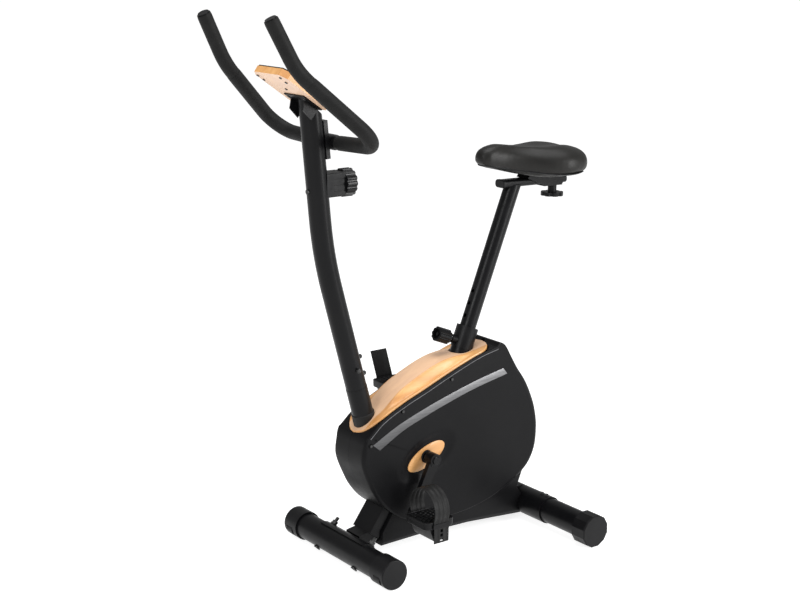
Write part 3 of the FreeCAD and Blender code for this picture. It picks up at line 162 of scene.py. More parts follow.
def seat_point(along, out=0.0, x=0.0):
    """A point on the seat tube's line, and a distance forward of it."""
    y = SEAT_BASE[0] + along * math.sin(SEAT_LEAN) - out * math.cos(SEAT_LEAN)
    z = SEAT_BASE[1] + along * math.cos(SEAT_LEAN) + out * math.sin(SEAT_LEAN)
    return Vector((x, y, z))


def post_point(z):
    share = (z - POST_FOOT[1]) / (POST_BEND[1] - POST_FOOT[1])
    return Vector((0, POST_FOOT[0] + share * (POST_BEND[0] - POST_FOOT[0]), z))


class Shape:
    """The vertices and faces of one piece, in millimetres."""

    def __init__(self):
        self.points = []
        self.faces = []

    def grid(self, rows, around=False, across=False, ends=False):
        """Joins rows of points. around closes each row, across joins the last row to the first."""
        start, count, width = len(self.points), len(rows), len(rows[0])
        for row in rows:
            self.points += [Vector(p) for p in row]
        for r in range(count if across else count - 1):
            for c in range(width if around else width - 1):
                here, after = start + r * width, start + (r + 1) % count * width
                step = (c + 1) % width
                self.faces.append((here + c, here + step, after + step, after + c))
        if ends:
            self.faces.append(tuple(range(start + width - 1, start - 1, -1)))
            last = start + (count - 1) * width
            self.faces.append(tuple(range(last, last + width)))
        return self

    def lathe(self, profile, start, along, sides=48):
        """Turns a profile of (radius, distance) points round a line."""
        along = Vector(along).normalized()
        side = along.orthogonal().normalized()
        other = along.cross(side)
        rows = []
        for radius, reach in profile:
            centre = Vector(start) + along * reach
            turns = [2 * math.pi * k / sides for k in range(sides)]
            rows.append([centre + (side * math.cos(t) + other * math.sin(t)) * radius for t in turns])
        return self.grid(rows, around=True, ends=True)

    def mirrored(self):
        twin = Shape()
        twin.points = [Vector((-p.x, p.y, p.z)) for p in self.points]
        twin.faces = [tuple(reversed(face)) for face in self.faces]
        return twin

    def add(self, other):
        start = len(self.points)
        self.points += other.points
        self.faces += [tuple(start + index for index in face) for face in other.faces]
        return self


def make_object(name, shape):
    """Makes the shape's object, in metres, with the normals of its closed parts facing out."""
    mesh = bpy.data.meshes.new(name)
    mesh.from_pydata([p * MM for p in shape.points], [], shape.faces)
    build = bmesh.new()
    build.from_mesh(mesh)
    if all(len(edge.link_faces) == 2 for edge in build.edges):
        bmesh.ops.recalc_face_normals(build, faces=build.faces)
        build.to_mesh(mesh)
    build.free()
    mesh.update()
    obj = bpy.data.objects.new(name, mesh)
    bpy.context.scene.collection.objects.link(obj)
    return obj


def smooth(obj, degrees=35):
    obj.data.polygons.foreach_set("use_smooth", [True] * len(obj.data.polygons))
    obj.data.set_sharp_from_angle(angle=math.radians(degrees))


def apply_modifiers(obj):
    """Turns the evaluated mesh into the object's own."""
    bpy.context.view_layer.update()
    evaluated = obj.evaluated_get(bpy.context.evaluated_depsgraph_get())
    mesh = bpy.data.meshes.new_from_object(evaluated)
    obj.modifiers.clear()
    obj.data = mesh


def cut(obj, cutter_shape):
    """Cuts a closed shape out of an object."""
    cutter = make_object("cutter", cutter_shape)
    modifier = obj.modifiers.new("cut", "BOOLEAN")
    modifier.operation = "DIFFERENCE"
    modifier.object = cutter
    modifier.solver = "MANIFOLD"
    apply_modifiers(obj)
    bpy.data.objects.remove(cutter)


def bevel(obj, width, segments=2, degrees=35):
    modifier = obj.modifiers.new("bevel", "BEVEL")
    modifier.width = width * MM
    modifier.segments = segments
    modifier.limit_method = "ANGLE"
    modifier.angle_limit = math.radians(degrees)
    modifier.harden_normals = True
    return modifier


def thicken(obj, depth, offset=-1.0):
    modifier = obj.modifiers.new("wall", "SOLIDIFY")
    modifier.thickness = depth * MM
    modifier.offset = offset
    return modifier


def place(obj, body, slot, material, *replaced):
    """Gives a finished piece its material and its body, and hides the CAD nodes it replaces."""
    obj.data.materials.clear()
    obj.data.materials.append(material)
    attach(obj, body)
    if replaced:
        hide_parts(*replaced)
    return obj


def rounded_path(points, radii, arc_steps=14, run_step=12.0):
    """Points along straight runs that are joined by tangent arcs."""
    points = [Vector(p) for p in points]
    path = [points[0]]
    start = points[0]
    for before, corner, after, radius in zip(points, points[1:], points[2:], radii):
        back, ahead = (before - corner).normalized(), (after - corner).normalized()
        half = back.angle(ahead) / 2
        first, last = corner + back * radius / math.tan(half), corner + ahead * radius / math.tan(half)
        centre = corner + (back + ahead).normalized() * radius / math.sin(half)
        out, end = (first - centre).normalized(), (last - centre).normalized()
        add_run(path, start, first, run_step)
        for step in range(1, arc_steps + 1):
            path.append(centre + out.slerp(end, step / arc_steps) * radius)
        start = last
    add_run(path, start, points[-1], run_step)
    return path


def add_run(path, start, end, run_step):
    steps = max(1, round((end - start).length / run_step))
    path += [start.lerp(end, step / steps) for step in range(1, steps + 1)]


def tube_rows(path, radius_at, sides=32):
    """Rings along a path. radius_at gives the radius at a distance along it."""
    rows = []
    travelled = 0.0
    side = (path[1] - path[0]).orthogonal().normalized()
    for index, point in enumerate(path):
        before, after = path[max(index - 1, 0)], path[min(index + 1, len(path) - 1)]
        ahead = (after - before).normalized()
        side = (side - ahead * side.dot(ahead)).normalized()
        other = ahead.cross(side)
        travelled += (point - before).length
        radius = radius_at(travelled)
        turns = [2 * math.pi * k / sides for k in range(sides)]
        rows.append([point + (side * math.cos(t) + other * math.sin(t)) * radius for t in turns])
    return rows


# ---------------------------------------------------------------- materials

class Paint:
    """A Principled material with short calls for its textures."""

    def __init__(self, name, colour, roughness, metallic=0.0, coat=0.0, sheen=0.0, specular=0.5):
        self.material = bpy.data.materials.new(name)
        self.material.use_nodes = True
        self.tree = self.material.node_tree
        self.shader = self.tree.nodes["Principled BSDF"]
        self.shader.inputs["Base Color"].default_value = (*colour, 1)
        self.shader.inputs["Roughness"].default_value = roughness
        self.shader.inputs["Metallic"].default_value = metallic
        self.shader.inputs["Coat Weight"].default_value = coat
        self.shader.inputs["Coat Roughness"].default_value = 0.25
        self.shader.inputs["Sheen Weight"].default_value = sheen
        self.shader.inputs["Specular IOR Level"].default_value = specular
        self.height = None

    def node(self, kind, inputs=(), **settings):
        made = self.tree.nodes.new("ShaderNode" + kind)
        for key, value in settings.items():
            setattr(made, key, value)
        for key, value in dict(inputs).items():
            if isinstance(value, bpy.types.NodeSocket):
                self.tree.links.new(value, made.inputs[key])
            else:
                made.inputs[key].default_value = value
        return made

    def place_in_space(self, stretch, turn):
        coords = self.node("TexCoord").outputs["Object"]
        return self.node("Mapping", {"Vector": coords, "Scale": stretch, "Rotation": turn}).outputs[0]

    def noise(self, scale, detail=3.0, stretch=(1, 1, 1), turn=(0, 0, 0), roughness=0.5, distortion=0.0):
        vector = self.place_in_space(stretch, turn)
        settings = {"Vector": vector, "Scale": scale, "Detail": detail}
        settings.update({"Roughness": roughness, "Distortion": distortion})
        return self.node("TexNoise", settings).outputs[0]

    def cells(self, scale, stretch=(1, 1, 1), feature="DISTANCE_TO_EDGE"):
        vector = self.place_in_space(stretch, (0, 0, 0))
        node = self.node("TexVoronoi", {"Vector": vector, "Scale": scale}, feature=feature)
        return node.outputs["Distance"]

    def span(self, value, low, high, from_low=0.0, from_high=1.0):
        settings = {"Value": value, "From Min": from_low, "From Max": from_high}
        settings.update({"To Min": low, "To Max": high})
        return self.node("MapRange", settings).outputs[0]

    def mottle(self, scale, detail, dark, pale):
        """Cloudy variation between two colours."""
        self.colour(self.colours(self.noise(scale, detail), (0.3, dark), (0.7, pale)))

    def colours(self, value, *stops):
        """Colours by value: each stop is (position, colour)."""
        ramp = self.node("ValToRGB", {"Fac": value})
        elements = ramp.color_ramp.elements
        while len(elements) < len(stops):
            elements.new(0.5)
        for element, (position, colour) in zip(elements, stops):
            element.position = position
            element.color = (*colour, 1)
        return ramp.outputs["Color"]

    def blend(self, share, first, second, mode="MIX"):
        node = self.node("Mix", data_type="RGBA", blend_type=mode)
        for name, value in (("Factor", share), ("A", first), ("B", second)):
            socket = next(s for s in node.inputs if s.name == name and s.enabled and s.type != "VECTOR")
            if isinstance(value, bpy.types.NodeSocket):
                self.tree.links.new(value, socket)
            else:
                socket.default_value = value
        return next(s for s in node.outputs if s.enabled)

    def colour(self, socket):
        self.tree.links.new(socket, self.shader.inputs["Base Color"])
        return self

    def roughness(self, socket):
        self.tree.links.new(socket, self.shader.inputs["Roughness"])
        return self

    def bump(self, height, strength, depth):
        """Adds relief, in millimetres, over any relief already there."""
        inputs = {"Height": height, "Strength": strength, "Distance": depth * MM}
        if self.height:
            inputs["Normal"] = self.height
        self.height = self.node("Bump", inputs).outputs[0]
        self.tree.links.new(self.height, self.shader.inputs["Normal"])
        return self


def powder_coat():
    """Satin black paint with a fine orange-peel skin."""
    paint = Paint("powder_coat", (0.004, 0.004, 0.0045), 0.3, specular=0.14)
    cloud = paint.noise(9, 4)
    paint.colour(paint.colours(cloud, (0.3, (0.0025, 0.0025, 0.003)), (0.7, (0.0045, 0.0045, 0.005))))
    paint.roughness(paint.span(paint.noise(30, 5), 0.28, 0.40, 0.3, 0.7))
    return paint.bump(paint.noise(1100, 1.5), 0.25, 0.12).bump(paint.noise(160, 2), 0.12, 0.25).material


def housing_plastic():
    """Moulded plastic with a fine spark-eroded grain."""
    paint = Paint("housing_plastic", (0.004, 0.004, 0.0045), 0.36, specular=0.1)
    cloud = paint.noise(6, 5)
    paint.colour(paint.colours(cloud, (0.3, (0.003, 0.003, 0.0035)), (0.7, (0.005, 0.005, 0.0055))))
    paint.roughness(paint.span(paint.noise(22, 5), 0.38, 0.48, 0.3, 0.7))
    return paint.bump(paint.noise(1500, 2), 0.35, 0.10).bump(paint.noise(12, 2), 0.06, 1.2).material


def moulded_plastic(name="moulded_plastic", roughness=0.42, grain=0.3):
    paint = Paint(name, (0.004, 0.004, 0.0045), roughness, specular=0.16)
    paint.mottle(25, 4, (0.003, 0.003, 0.0035), (0.006, 0.006, 0.0065))
    paint.roughness(paint.span(paint.noise(60, 4), roughness - 0.06, roughness + 0.07, 0.3, 0.7))
    return paint.bump(paint.noise(1800, 2), grain, 0.08).material


def beech(name="beech", turn=(0, 0, 0), lift=0.0):
    """Lacquered light beech: long soft grain along Y, with short darker flecks."""
    paint = Paint(name, (0.72, 0.43, 0.2), 0.42, coat=0.25)
    rings = paint.noise(26, 3, (1.6, 0.10, 1.0), turn, distortion=0.6)
    pale, mid, deep = (0.66, 0.36, 0.135), (0.59, 0.30, 0.10), (0.48, 0.22, 0.07)
    tone = paint.colours(rings, (0.32, deep), (0.5, mid), (0.68, pale))
    fibres = paint.noise(420, 3, (1.0, 0.03, 1.0), turn)
    tone = paint.blend(paint.span(fibres, 0.0, 0.22, 0.45, 0.7), tone, (*deep, 1))
    flecks = paint.cells(300, (1.0, 0.12, 1.0), "F1")
    tone = paint.blend(paint.span(flecks, 0.35, 0.0, 0.0, 0.22), tone, (0.34, 0.15, 0.05, 1))
    # The last argument pales the wood: on the cover's crown this is painted light, the upward faces made paler
    # as though lit from above
    tone = paint.blend(lift, tone, (0.72, 0.56, 0.46, 1))
    paint.colour(tone)
    paint.roughness(paint.span(fibres, 0.36, 0.5, 0.3, 0.7))
    return paint.bump(fibres, 0.15, 0.08).material


def brushed_silver():
    """Grey metal trim, brushed along its length and darker towards its lower front end."""
    paint = Paint("brushed_silver", (0.16, 0.16, 0.165), 0.42, metallic=0.6)
    lines = paint.noise(900, 3, (1, 0.02, 0.6), (math.radians(-20), 0, 0))
    grain = paint.colours(lines, (0.3, (0.13, 0.13, 0.135)), (0.7, (0.22, 0.22, 0.225)))
    along = paint.node("SeparateXYZ", {"Vector": paint.node("TexCoord").outputs["Object"]}).outputs["Y"]
    fade = paint.span(along, 0.75, 0.0, STRIPE_LOWER[0][0] * MM, STRIPE_LOWER[-1][0] * MM)
    paint.colour(paint.blend(fade, grain, (0.035, 0.035, 0.036, 1)))
    paint.roughness(paint.span(lines, 0.34, 0.5, 0.3, 0.7))
    return paint.bump(lines, 0.35, 0.08).material


def machined_steel(name="machined_steel", colour=(0.55, 0.55, 0.56), roughness=0.28):
    paint = Paint(name, colour, roughness, metallic=1.0)
    turns = paint.noise(600, 2, (0.4, 1, 1))
    dark = tuple(0.75 * c for c in colour)
    paint.colour(paint.colours(paint.noise(80, 4), (0.3, dark), (0.7, colour)))
    paint.roughness(paint.span(turns, roughness - 0.08, roughness + 0.1, 0.3, 0.7))
    return paint.bump(turns, 0.2, 0.05).material


def black_oxide():
    paint = Paint("black_oxide", (0.03, 0.03, 0.03), 0.35, metallic=0.6)
    paint.colour(paint.colours(paint.noise(200, 4), (0.35, (0.02, 0.02, 0.02)), (0.7, (0.06, 0.06, 0.06))))
    paint.roughness(paint.span(paint.noise(300, 3), 0.28, 0.45, 0.3, 0.7))
    return paint.bump(paint.noise(900, 2), 0.2, 0.05).material


def grip_foam():
    """Closed-cell foam: matt, with small open pores."""
    paint = Paint("grip_foam", (0.006, 0.006, 0.006), 0.5, sheen=0.01, specular=0.16)
    paint.mottle(40, 5, (0.004, 0.004, 0.004), (0.007, 0.007, 0.0068))
    pores = paint.cells(1300)
    paint.roughness(paint.span(pores, 0.7, 0.5, 0.0, 0.3))
    return paint.bump(pores, 0.45, 0.2).bump(paint.noise(260, 4), 0.3, 0.25).material


def leatherette():
    """Soft satin vinyl with a pebbled grain and fine creases."""
    paint = Paint("leatherette", (0.007, 0.0065, 0.006), 0.36, specular=0.22)
    paint.mottle(18, 5, (0.005, 0.0047, 0.0043), (0.009, 0.0085, 0.0075))
    pebbles = paint.cells(620)
    paint.roughness(paint.span(pebbles, 0.5, 0.36, 0.0, 0.35))
    return paint.bump(pebbles, 0.35, 0.18).bump(paint.noise(90, 5, roughness=0.6), 0.2, 0.4).material


def rubber(name="rubber", colour=(0.006, 0.006, 0.006)):
    paint = Paint(name, colour, 0.48, specular=0.2)
    pale = tuple(1.6 * c for c in colour)
    paint.colour(paint.colours(paint.noise(70, 5), (0.35, colour), (0.7, pale)))
    paint.roughness(paint.span(paint.noise(140, 4), 0.46, 0.64, 0.3, 0.7))
    return paint.bump(paint.noise(700, 3), 0.3, 0.12).material


def cast_iron():
    paint = Paint("cast_iron", (0.2, 0.2, 0.21), 0.5, metallic=0.9)
    paint.mottle(60, 5, (0.13, 0.13, 0.135), (0.26, 0.26, 0.265))
    paint.roughness(paint.span(paint.noise(200, 4), 0.4, 0.62, 0.3, 0.7))
    return paint.bump(paint.noise(500, 4), 0.4, 0.15).material


def display_glass():
    paint = Paint("display_glass", (0.10, 0.12, 0.11), 0.08, coat=1.0)
    paint.colour(paint.colours(paint.noise(30, 2), (0.4, (0.09, 0.11, 0.10)), (0.6, (0.12, 0.14, 0.125))))
    paint.roughness(paint.span(paint.noise(90, 4), 0.05, 0.12, 0.3, 0.7))
    return paint.bump(paint.noise(40, 2), 0.05, 0.1).material


def floor_paint():
    paint = Paint("floor_paint", (0.5, 0.5, 0.5), 0.75, specular=0.1)
    paint.shader.inputs["Emission Color"].default_value = (1, 1, 1, 1)
    paint.shader.inputs["Emission Strength"].default_value = FLOOR_GLOW
    paint.mottle(3, 4, (0.49, 0.49, 0.49), (0.52, 0.52, 0.52))
    return paint.bump(paint.noise(300, 3), 0.1, 0.2).material


COAT = powder_coat()
SHELL = housing_plastic()
PLASTIC = moulded_plastic()
GLOSS = moulded_plastic("gloss_plastic", 0.24, 0.12)
# Painted highlight: a pale colour for the strip that stands in for the bright line of light along the housing's
# top edge
RIM_HIGHLIGHT_PAINT = rubber("painted_rim_highlight", (0.10, 0.10, 0.105))
BEECH = beech()
BEECH_TILTED = beech("beech_board", (CONSOLE_TILT, 0, 0))
BEECH_BACK = beech("beech_back", (CONSOLE_TILT, 0, 0), 0.55)
# Painted light: a paler beech for the cover's upward-facing crown, as though lit from above
BEECH_PAINTED_TOP_LIGHT = beech("beech_painted_top_light", lift=0.4)
SILVER = brushed_silver()
STEEL = machined_steel()
OXIDE = black_oxide()
FOAM = grip_foam()
VINYL = leatherette()
RUBBER = rubber()
IRON = cast_iron()
DISPLAY = display_glass()

CAD_FINISH = (
    (COAT, "base_beam front_leg post_stub flywheel_plates seat_tube bottom_bracket handlebar_post"),
    (COAT, "handlebar_clamp front_stabiliser_tube rear_stabiliser_tube rear_sleeve crank_left crank_right"),
    (COAT, "seat_post seat_slide_bar saddle_bracket handlebar_tube magnet_arm console_bracket"),
    (SHELL, "housing_left housing_right"),
    (PLASTIC, "seat_bushing tension_box console_case front_end_caps speed_sensor slide_bar_caps saddle_base"),
    (PLASTIC, "saddle_knob handlebar_plugs mode_key rear_cap_left rear_cap_right pedal_left pedal_right"),
    (PLASTIC, "drive_pulley roller_left roller_right"),
    (GLOSS, "tension_knob seat_lock_knob crank_bolt_caps"),
    (BEECH, "top_cover wood_ovals"),
    (BEECH_TILTED, "console_board"),
    (SILVER, "silver_stripes"),
    (STEEL, "bearings crank_axle pedal_spindles seat_lock_shank flywheel_axle"),
    (OXIDE, "frame_bolts self_tapping_screws"),
    (FOAM, "foam_grips"),
    (VINYL, "saddle_pad"),
    (RUBBER, "pedal_strap_left pedal_strap_right drive_belt brake_cable"),
    (IRON, "flywheel"),
    (DISPLAY, "console_lens"),
)


def finish_cad_nodes():
    """Every CAD node gets its finish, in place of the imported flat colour."""
    for material, names in CAD_FINISH:
        for name in names.split():
            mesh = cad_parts[name].data
            mesh.materials.clear()
            mesh.materials.append(material)
    back = Vector((0, -math.sin(CONSOLE_TILT), -math.cos(CONSOLE_TILT)))
    paint_faces(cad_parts["console_board"].data, BEECH_BACK, lambda face: face.normal.dot(back) > 0.9)


def paint_faces(mesh, material, chosen):
    """Gives some of a mesh's faces a second material."""
    mesh.materials.append(material)
    for face in mesh.polygons:
        if chosen(face):
            face.material_index = len(mesh.materials) - 1


# ---------------------------------------------------------------- housing

def cover_half_width(y):
    """Half the cover's width in plan, at a place along the bike."""
    if y < COVER_FRONT + FRONT_OVAL:
        share = (COVER_FRONT + FRONT_OVAL - y) / FRONT_OVAL
    elif y > COVER_REAR - REAR_OVAL:
        share = (y - COVER_REAR + REAR_OVAL) / REAR_OVAL
    else:
        share = 0.0
    return COVER_HALF * math.sqrt(max(0.0, 1 - share ** 2))


def cover_stations(gap, oval_steps=16, run_steps=56):
    """Places along the bike, closer together towards both ends of the cover."""
    low, high = COVER_FRONT - gap, COVER_REAR + gap
    quarter = [math.pi / 2 * k / oval_steps for k in range(oval_steps)]
    front = [low + FRONT_OVAL * (1 - math.cos(t)) for t in quarter]
    rear = [high - REAR_OVAL * (1 - math.cos(t)) for t in reversed(quarter)]
    start, end = low + FRONT_OVAL, high - REAR_OVAL
    middle = [start + (end - start) * k / run_steps for k in range(run_steps + 1)]
    return front + middle + rear


def spline(points, step=4.0):
    """Points along a smooth open curve through the given ones."""
    ends = [points[0], *points, points[-1]]
    path = []
    for before, start, end, after in zip(ends, ends[1:], ends[2:], ends[3:]):
        before, start, end, after = (Vector(p) for p in (before, start, end, after))
        steps = max(2, round((end - start).length / step))
        for k in range(steps):
            t = k / steps
            bend = 2 * before - 5 * start + 4 * end - after
            twist = 3 * start - before - 3 * end + after
            path.append(0.5 * (2 * start + (end - before) * t + bend * t ** 2 + twist * t ** 3))
    return path + [Vector(points[-1])]


def drum_outline():
    """Every place round the drum's outline: (y, z, half width of the opening, whether the cover meets it)."""
    rest = [(p.x, p.y, SEAM, False) for p in spline(OUTLINE)[1:-1]]
    top = []
    for y in cover_stations(COVER_GAP):
        opening = cover_half_width(y) * (COVER_HALF + COVER_GAP) / COVER_HALF
        top.append((y, curve_at(COVER_BORDER, y), max(opening, SEAM), True))
    return rest + list(reversed(top))


def edge_radius(y, z):
    """The side edge: crisp along the top, softer at the front and rounder at the rear."""
    angle = math.degrees(math.atan2(z - DRUM_MIDDLE[1], y - DRUM_MIDDLE[0]))
    rear = smooth_step(-60, -30, angle) * smooth_step(56, 34, angle)
    front = smooth_step(166, 176, abs(angle)) if angle > 0 else smooth_step(-130, -160, angle)
    return EDGE_R + (REAR_R - EDGE_R) * rear + (FRONT_R - EDGE_R) * front


def dish_share(y, z):
    """How deep into the dish round the crank a place is: 0 outside, 1 on its floor."""
    tilt = math.radians(DISH_TILT)
    along = (y - CRANK[0]) * math.cos(tilt) + (z - CRANK[1]) * math.sin(tilt)
    across = (z - CRANK[1]) * math.cos(tilt) - (y - CRANK[0]) * math.sin(tilt)
    reach = math.hypot(along / DISH_LONG, across / DISH_SHORT)
    return smooth_step(1.0, 0.58, reach)


def face_x(y, z):
    """The side face: gently crowned, leaning in above the stripe, dished round the crank."""
    away = math.hypot((y - 90) / 235, (z - 240) / 205)
    crown = 2.6 * away ** 2
    above = max(0.0, z - curve_at(STRIPE_UPPER, y))
    return FACE_X + 0.6 - crown - 0.045 * above - DISH_DEPTH * dish_share(y, z)


def housing_half():
    """One half of the drum: channel round the cover, rim, rounded edge and side face, as one open skin."""
    outline = drum_outline()
    columns = []
    for index, (y, z, first_x, top) in enumerate(outline):
        (y0, z0), (y1, z1) = outline[index - 1][:2], outline[(index + 1) % len(outline)][:2]
        normal = Vector((0, z1 - z0, -(y1 - y0))).normalized()
        spot = Vector((0, y, z))
        radius = edge_radius(y, z)
        rim_end = face_x(y - normal.y * radius, z - normal.z * radius) - radius
        depth = CHANNEL[-1][1] if top else 0.0
        column = []
        for out, drop in CHANNEL:
            across = Vector((min(first_x + out, rim_end), 0, 0))
            column.append(spot - normal * (drop if top else 0.0) + across)
        spot -= normal * depth
        first_x = column[-1].x
        for step in range(1, 6):
            column.append(spot + Vector((first_x + (rim_end - first_x) * step / 6, 0, 0)))
        for step in range(10):
            turn = math.pi / 2 * step / 9
            across = Vector((rim_end + radius * math.sin(turn), 0, 0))
            column.append(spot - normal * radius * (1 - math.cos(turn)) + across)
        start = spot - normal * (radius + 1.5)
        toward = Vector((0, *CRANK)) - start
        reach = toward.length - AXLE_HOLE
        toward.normalize()
        face_steps = 64
        for step in range(face_steps + 1):
            place_on = start + toward * reach * step / face_steps
            column.append(place_on + Vector((face_x(place_on.y, place_on.z), 0, 0)))
        column.append(column[-1] - Vector((6, 0, 0)))
        columns.append(column)
    return Shape().grid(list(reversed(columns)), across=True)


def skirt_half():
    """The base under the drum, with a lower edge that tucks under."""
    rows = []
    for x, lift, inset in SKIRT_SECTION:
        row = []
        for y, z in SKIRT:
            raised = z + lift if z < SKIRT_LOW else z
            row.append((x, y + inset * (1 if y < 0 else -1), raised))
        rows.append(row)
    return Shape().grid(rows, around=True, ends=True)


def build_housing():
    drum = housing_half()
    skirt = skirt_half()
    recess = Shape()
    for y, z in HOUSING_SCREWS:
        recess.lathe(((4.6, 0), (4.6, 12)), (face_x(y, z) - 2.6, y, z), (1, 0, 0), 24)
    for side, name in ((1, "left"), (-1, "right")):
        shell = make_object("shell_" + name, drum if side > 0 else drum.mirrored())
        thicken(shell, SHELL_WALL)
        apply_modifiers(shell)
        cut(shell, recess if side > 0 else recess.mirrored())
        smooth(shell, 38)
        place(shell, "frame", "housing_plastic", SHELL, "housing_" + name)
        base = make_object("skirt_" + name, skirt if side > 0 else skirt.mirrored())
        bevel(base, 1.6, 3)
        smooth(base)
        place(base, "frame", "housing_plastic", SHELL, "housing_" + name)


def build_rim_highlights():
    """A narrow pale strip along the top edge of each side, where the side shell meets the rim: a painted
    highlight for the light caught along that edge.
    """
    path = []
    outline = drum_outline()
    for index, (y, z, _, top) in enumerate(outline):
        (y0, z0), (y1, z1) = outline[index - 1][:2], outline[(index + 1) % len(outline)][:2]
        normal = Vector((0, z1 - z0, -(y1 - y0))).normalized()
        spot = Vector((0, y, z)) - normal * (edge_radius(y, z) + RIM_HIGHLIGHT_IN)
        if top:
            path.append(spot + Vector((face_x(spot.y, spot.z), 0, 0)))
    highlight_strip = Shape().grid(tube_rows(path, lambda _: RIM_HIGHLIGHT_R, 10), around=True, ends=True)
    for side, name in ((1, "left"), (-1, "right")):
        obj = make_object("rim_highlight_" + name, highlight_strip if side > 0 else highlight_strip.mirrored())
        smooth(obj, 60)
        place(obj, "frame", "housing_plastic", RIM_HIGHLIGHT_PAINT)


def build_face_trims():
    """The silver stripe, the wood oval and the bearing boss of each side."""
    steps = 60
    rows = []
    for step in range(steps + 1):
        share = step / steps
        upper_y = STRIPE_UPPER[0][0] + (STRIPE_UPPER[-1][0] - STRIPE_UPPER[0][0]) * share
        lower_y = STRIPE_LOWER[0][0] + (STRIPE_LOWER[-1][0] - STRIPE_LOWER[0][0]) * share
        upper, lower = curve_at(STRIPE_UPPER, upper_y), curve_at(STRIPE_LOWER, lower_y)
        row = []
        for across, proud in STRIPE_SECTION:
            y = lower_y + (upper_y - lower_y) * across
            z = lower + (upper - lower) * across
            row.append((face_x(y, z) + proud, y, z))
        rows.append(row)
    stripe = Shape().grid(rows, around=True, ends=True)

    tilt = math.radians(DISH_TILT)
    rings = []
    sides = 96
    floor_x = face_x(*CRANK)
    for share, rise in OVAL_SECTION:
        ring = []
        for k in range(sides):
            turn = 2 * math.pi * k / sides
            inner = Vector((0, OVAL_HOLE_R * math.cos(turn), OVAL_HOLE_R * math.sin(turn)))
            along, across = OVAL_LONG * math.cos(turn - tilt), OVAL_SHORT * math.sin(turn - tilt)
            outer_y = along * math.cos(tilt) - across * math.sin(tilt)
            outer = Vector((0, outer_y, along * math.sin(tilt) + across * math.cos(tilt)))
            spot = inner.lerp(outer, share)
            ring.append((floor_x + rise, CRANK[0] + spot.y, CRANK[1] + spot.z))
        rings.append(ring)
    oval = Shape().grid(rings, around=True, across=True)
    profile = ((9.2, -4), (15.4, -4), (15.4, 3.4), (14.2, 4.6), (11.6, 4.6), (10.6, 2.6), (9.2, 2.2))
    boss = lathe_ring(profile, (floor_x, *CRANK), (1, 0, 0))
    for side, name in ((1, "left"), (-1, "right")):
        for piece, part, slot, material, node in (
            ("stripe_", stripe, "silver_trim", SILVER, ["silver_stripes"]),
            ("oval_", oval, "beech_wood", BEECH, ["wood_ovals"]),
            ("boss_", boss, "black_plastic", PLASTIC, []),
        ):
            obj = make_object(piece + name, part if side > 0 else part.mirrored())
            smooth(obj)
            place(obj, "frame", slot, material, *node)


def lathe_ring(profile, start, along, sides=48):
    """Turns a closed profile into a ring with a hole."""
    shape = Shape().lathe(profile, start, along, sides)
    shape.faces = shape.faces[:-2]
    count = len(profile)
    for k in range(sides):
        step = (k + 1) % sides
        last = (count - 1) * sides
        shape.faces.append((last + k, last + step, step, k))
    return shape


# ---------------------------------------------------------------- wood cover

def cover_height(x, y):
    """Top of the cover: a flat flange, a sloping flank, a soft crease and a crowned middle."""
    border = curve_at(COVER_BORDER, y)
    rise = max(0.0, curve_at(COVER_RISE, y))
    flank = smooth_step(FLANGE_X, CREASE_X - 2, abs(x)) ** 0.9
    crown = 0.14 * rise * (1 - (min(abs(x), CREASE_X) / CREASE_X) ** 2)
    return border + rise * 0.86 * flank + crown


def build_cover():
    columns = 72
    edge = ((0.0, -COVER_T), (0.0, -1.1), (0.5, -0.35), (1.4, 0.0))
    rows = []
    for y in cover_stations(0.0):
        half = max(cover_half_width(y), 0.6)
        row = []
        for inset, drop in edge:
            x = max(half - inset, 0.1)
            row.append((x, y, cover_height(half, y) + drop + 0.6))
        inner = max(half - 2.4, 0.05)
        for step in range(columns + 1):
            x = inner - 2 * inner * step / columns
            row.append((x, y, cover_height(x, y) + 0.6))
        row += [(-x, same_y, z) for x, same_y, z in reversed(row[:len(edge)])]
        rows.append(row)
    cover = make_object("cover", Shape().grid(rows, around=True, ends=True))
    holes = Shape()
    for radius, length, start, end in (
        (POST_HOLE_R + POST_HOLE_GAP, 260, post_point(220), post_point(480)),
        (SEAT_HOLE_R + SEAT_HOLE_GAP, 200, seat_point(-140), seat_point(0)),
    ):
        holes.lathe(((radius, 0), (radius, length)), start, end - start)
    cut(cover, holes)
    smooth(cover, 40)
    place(cover, "frame", "beech_wood", BEECH, "top_cover")
    middle = (CREASE_X - 3) * MM
    # Painted light: the crown's upward faces get the paler beech, as though lit from above
    paint_faces(cover.data, BEECH_PAINTED_TOP_LIGHT, lambda face: abs(face.center.x) < middle and face.normal.z > 0.5)
    build_post_collar()


def build_post_collar():
    """The thin black lip between the post and the cover."""
    z = curve_at(COVER_BORDER, -135)
    low, high = post_point(z - 24), post_point(z + 26)
    inner, outer = POST_HOLE_R - 0.8, POST_HOLE_R + POST_HOLE_GAP
    profile = ((inner, -30), (outer, -30), (outer, 10), (inner, 12))
    collar = make_object("post_collar", lathe_ring(profile, low.lerp(high, 0.45), high - low, 64))
    smooth(collar)
    place(collar, "frame", "black_plastic", RUBBER)


# ---------------------------------------------------------------- saddle

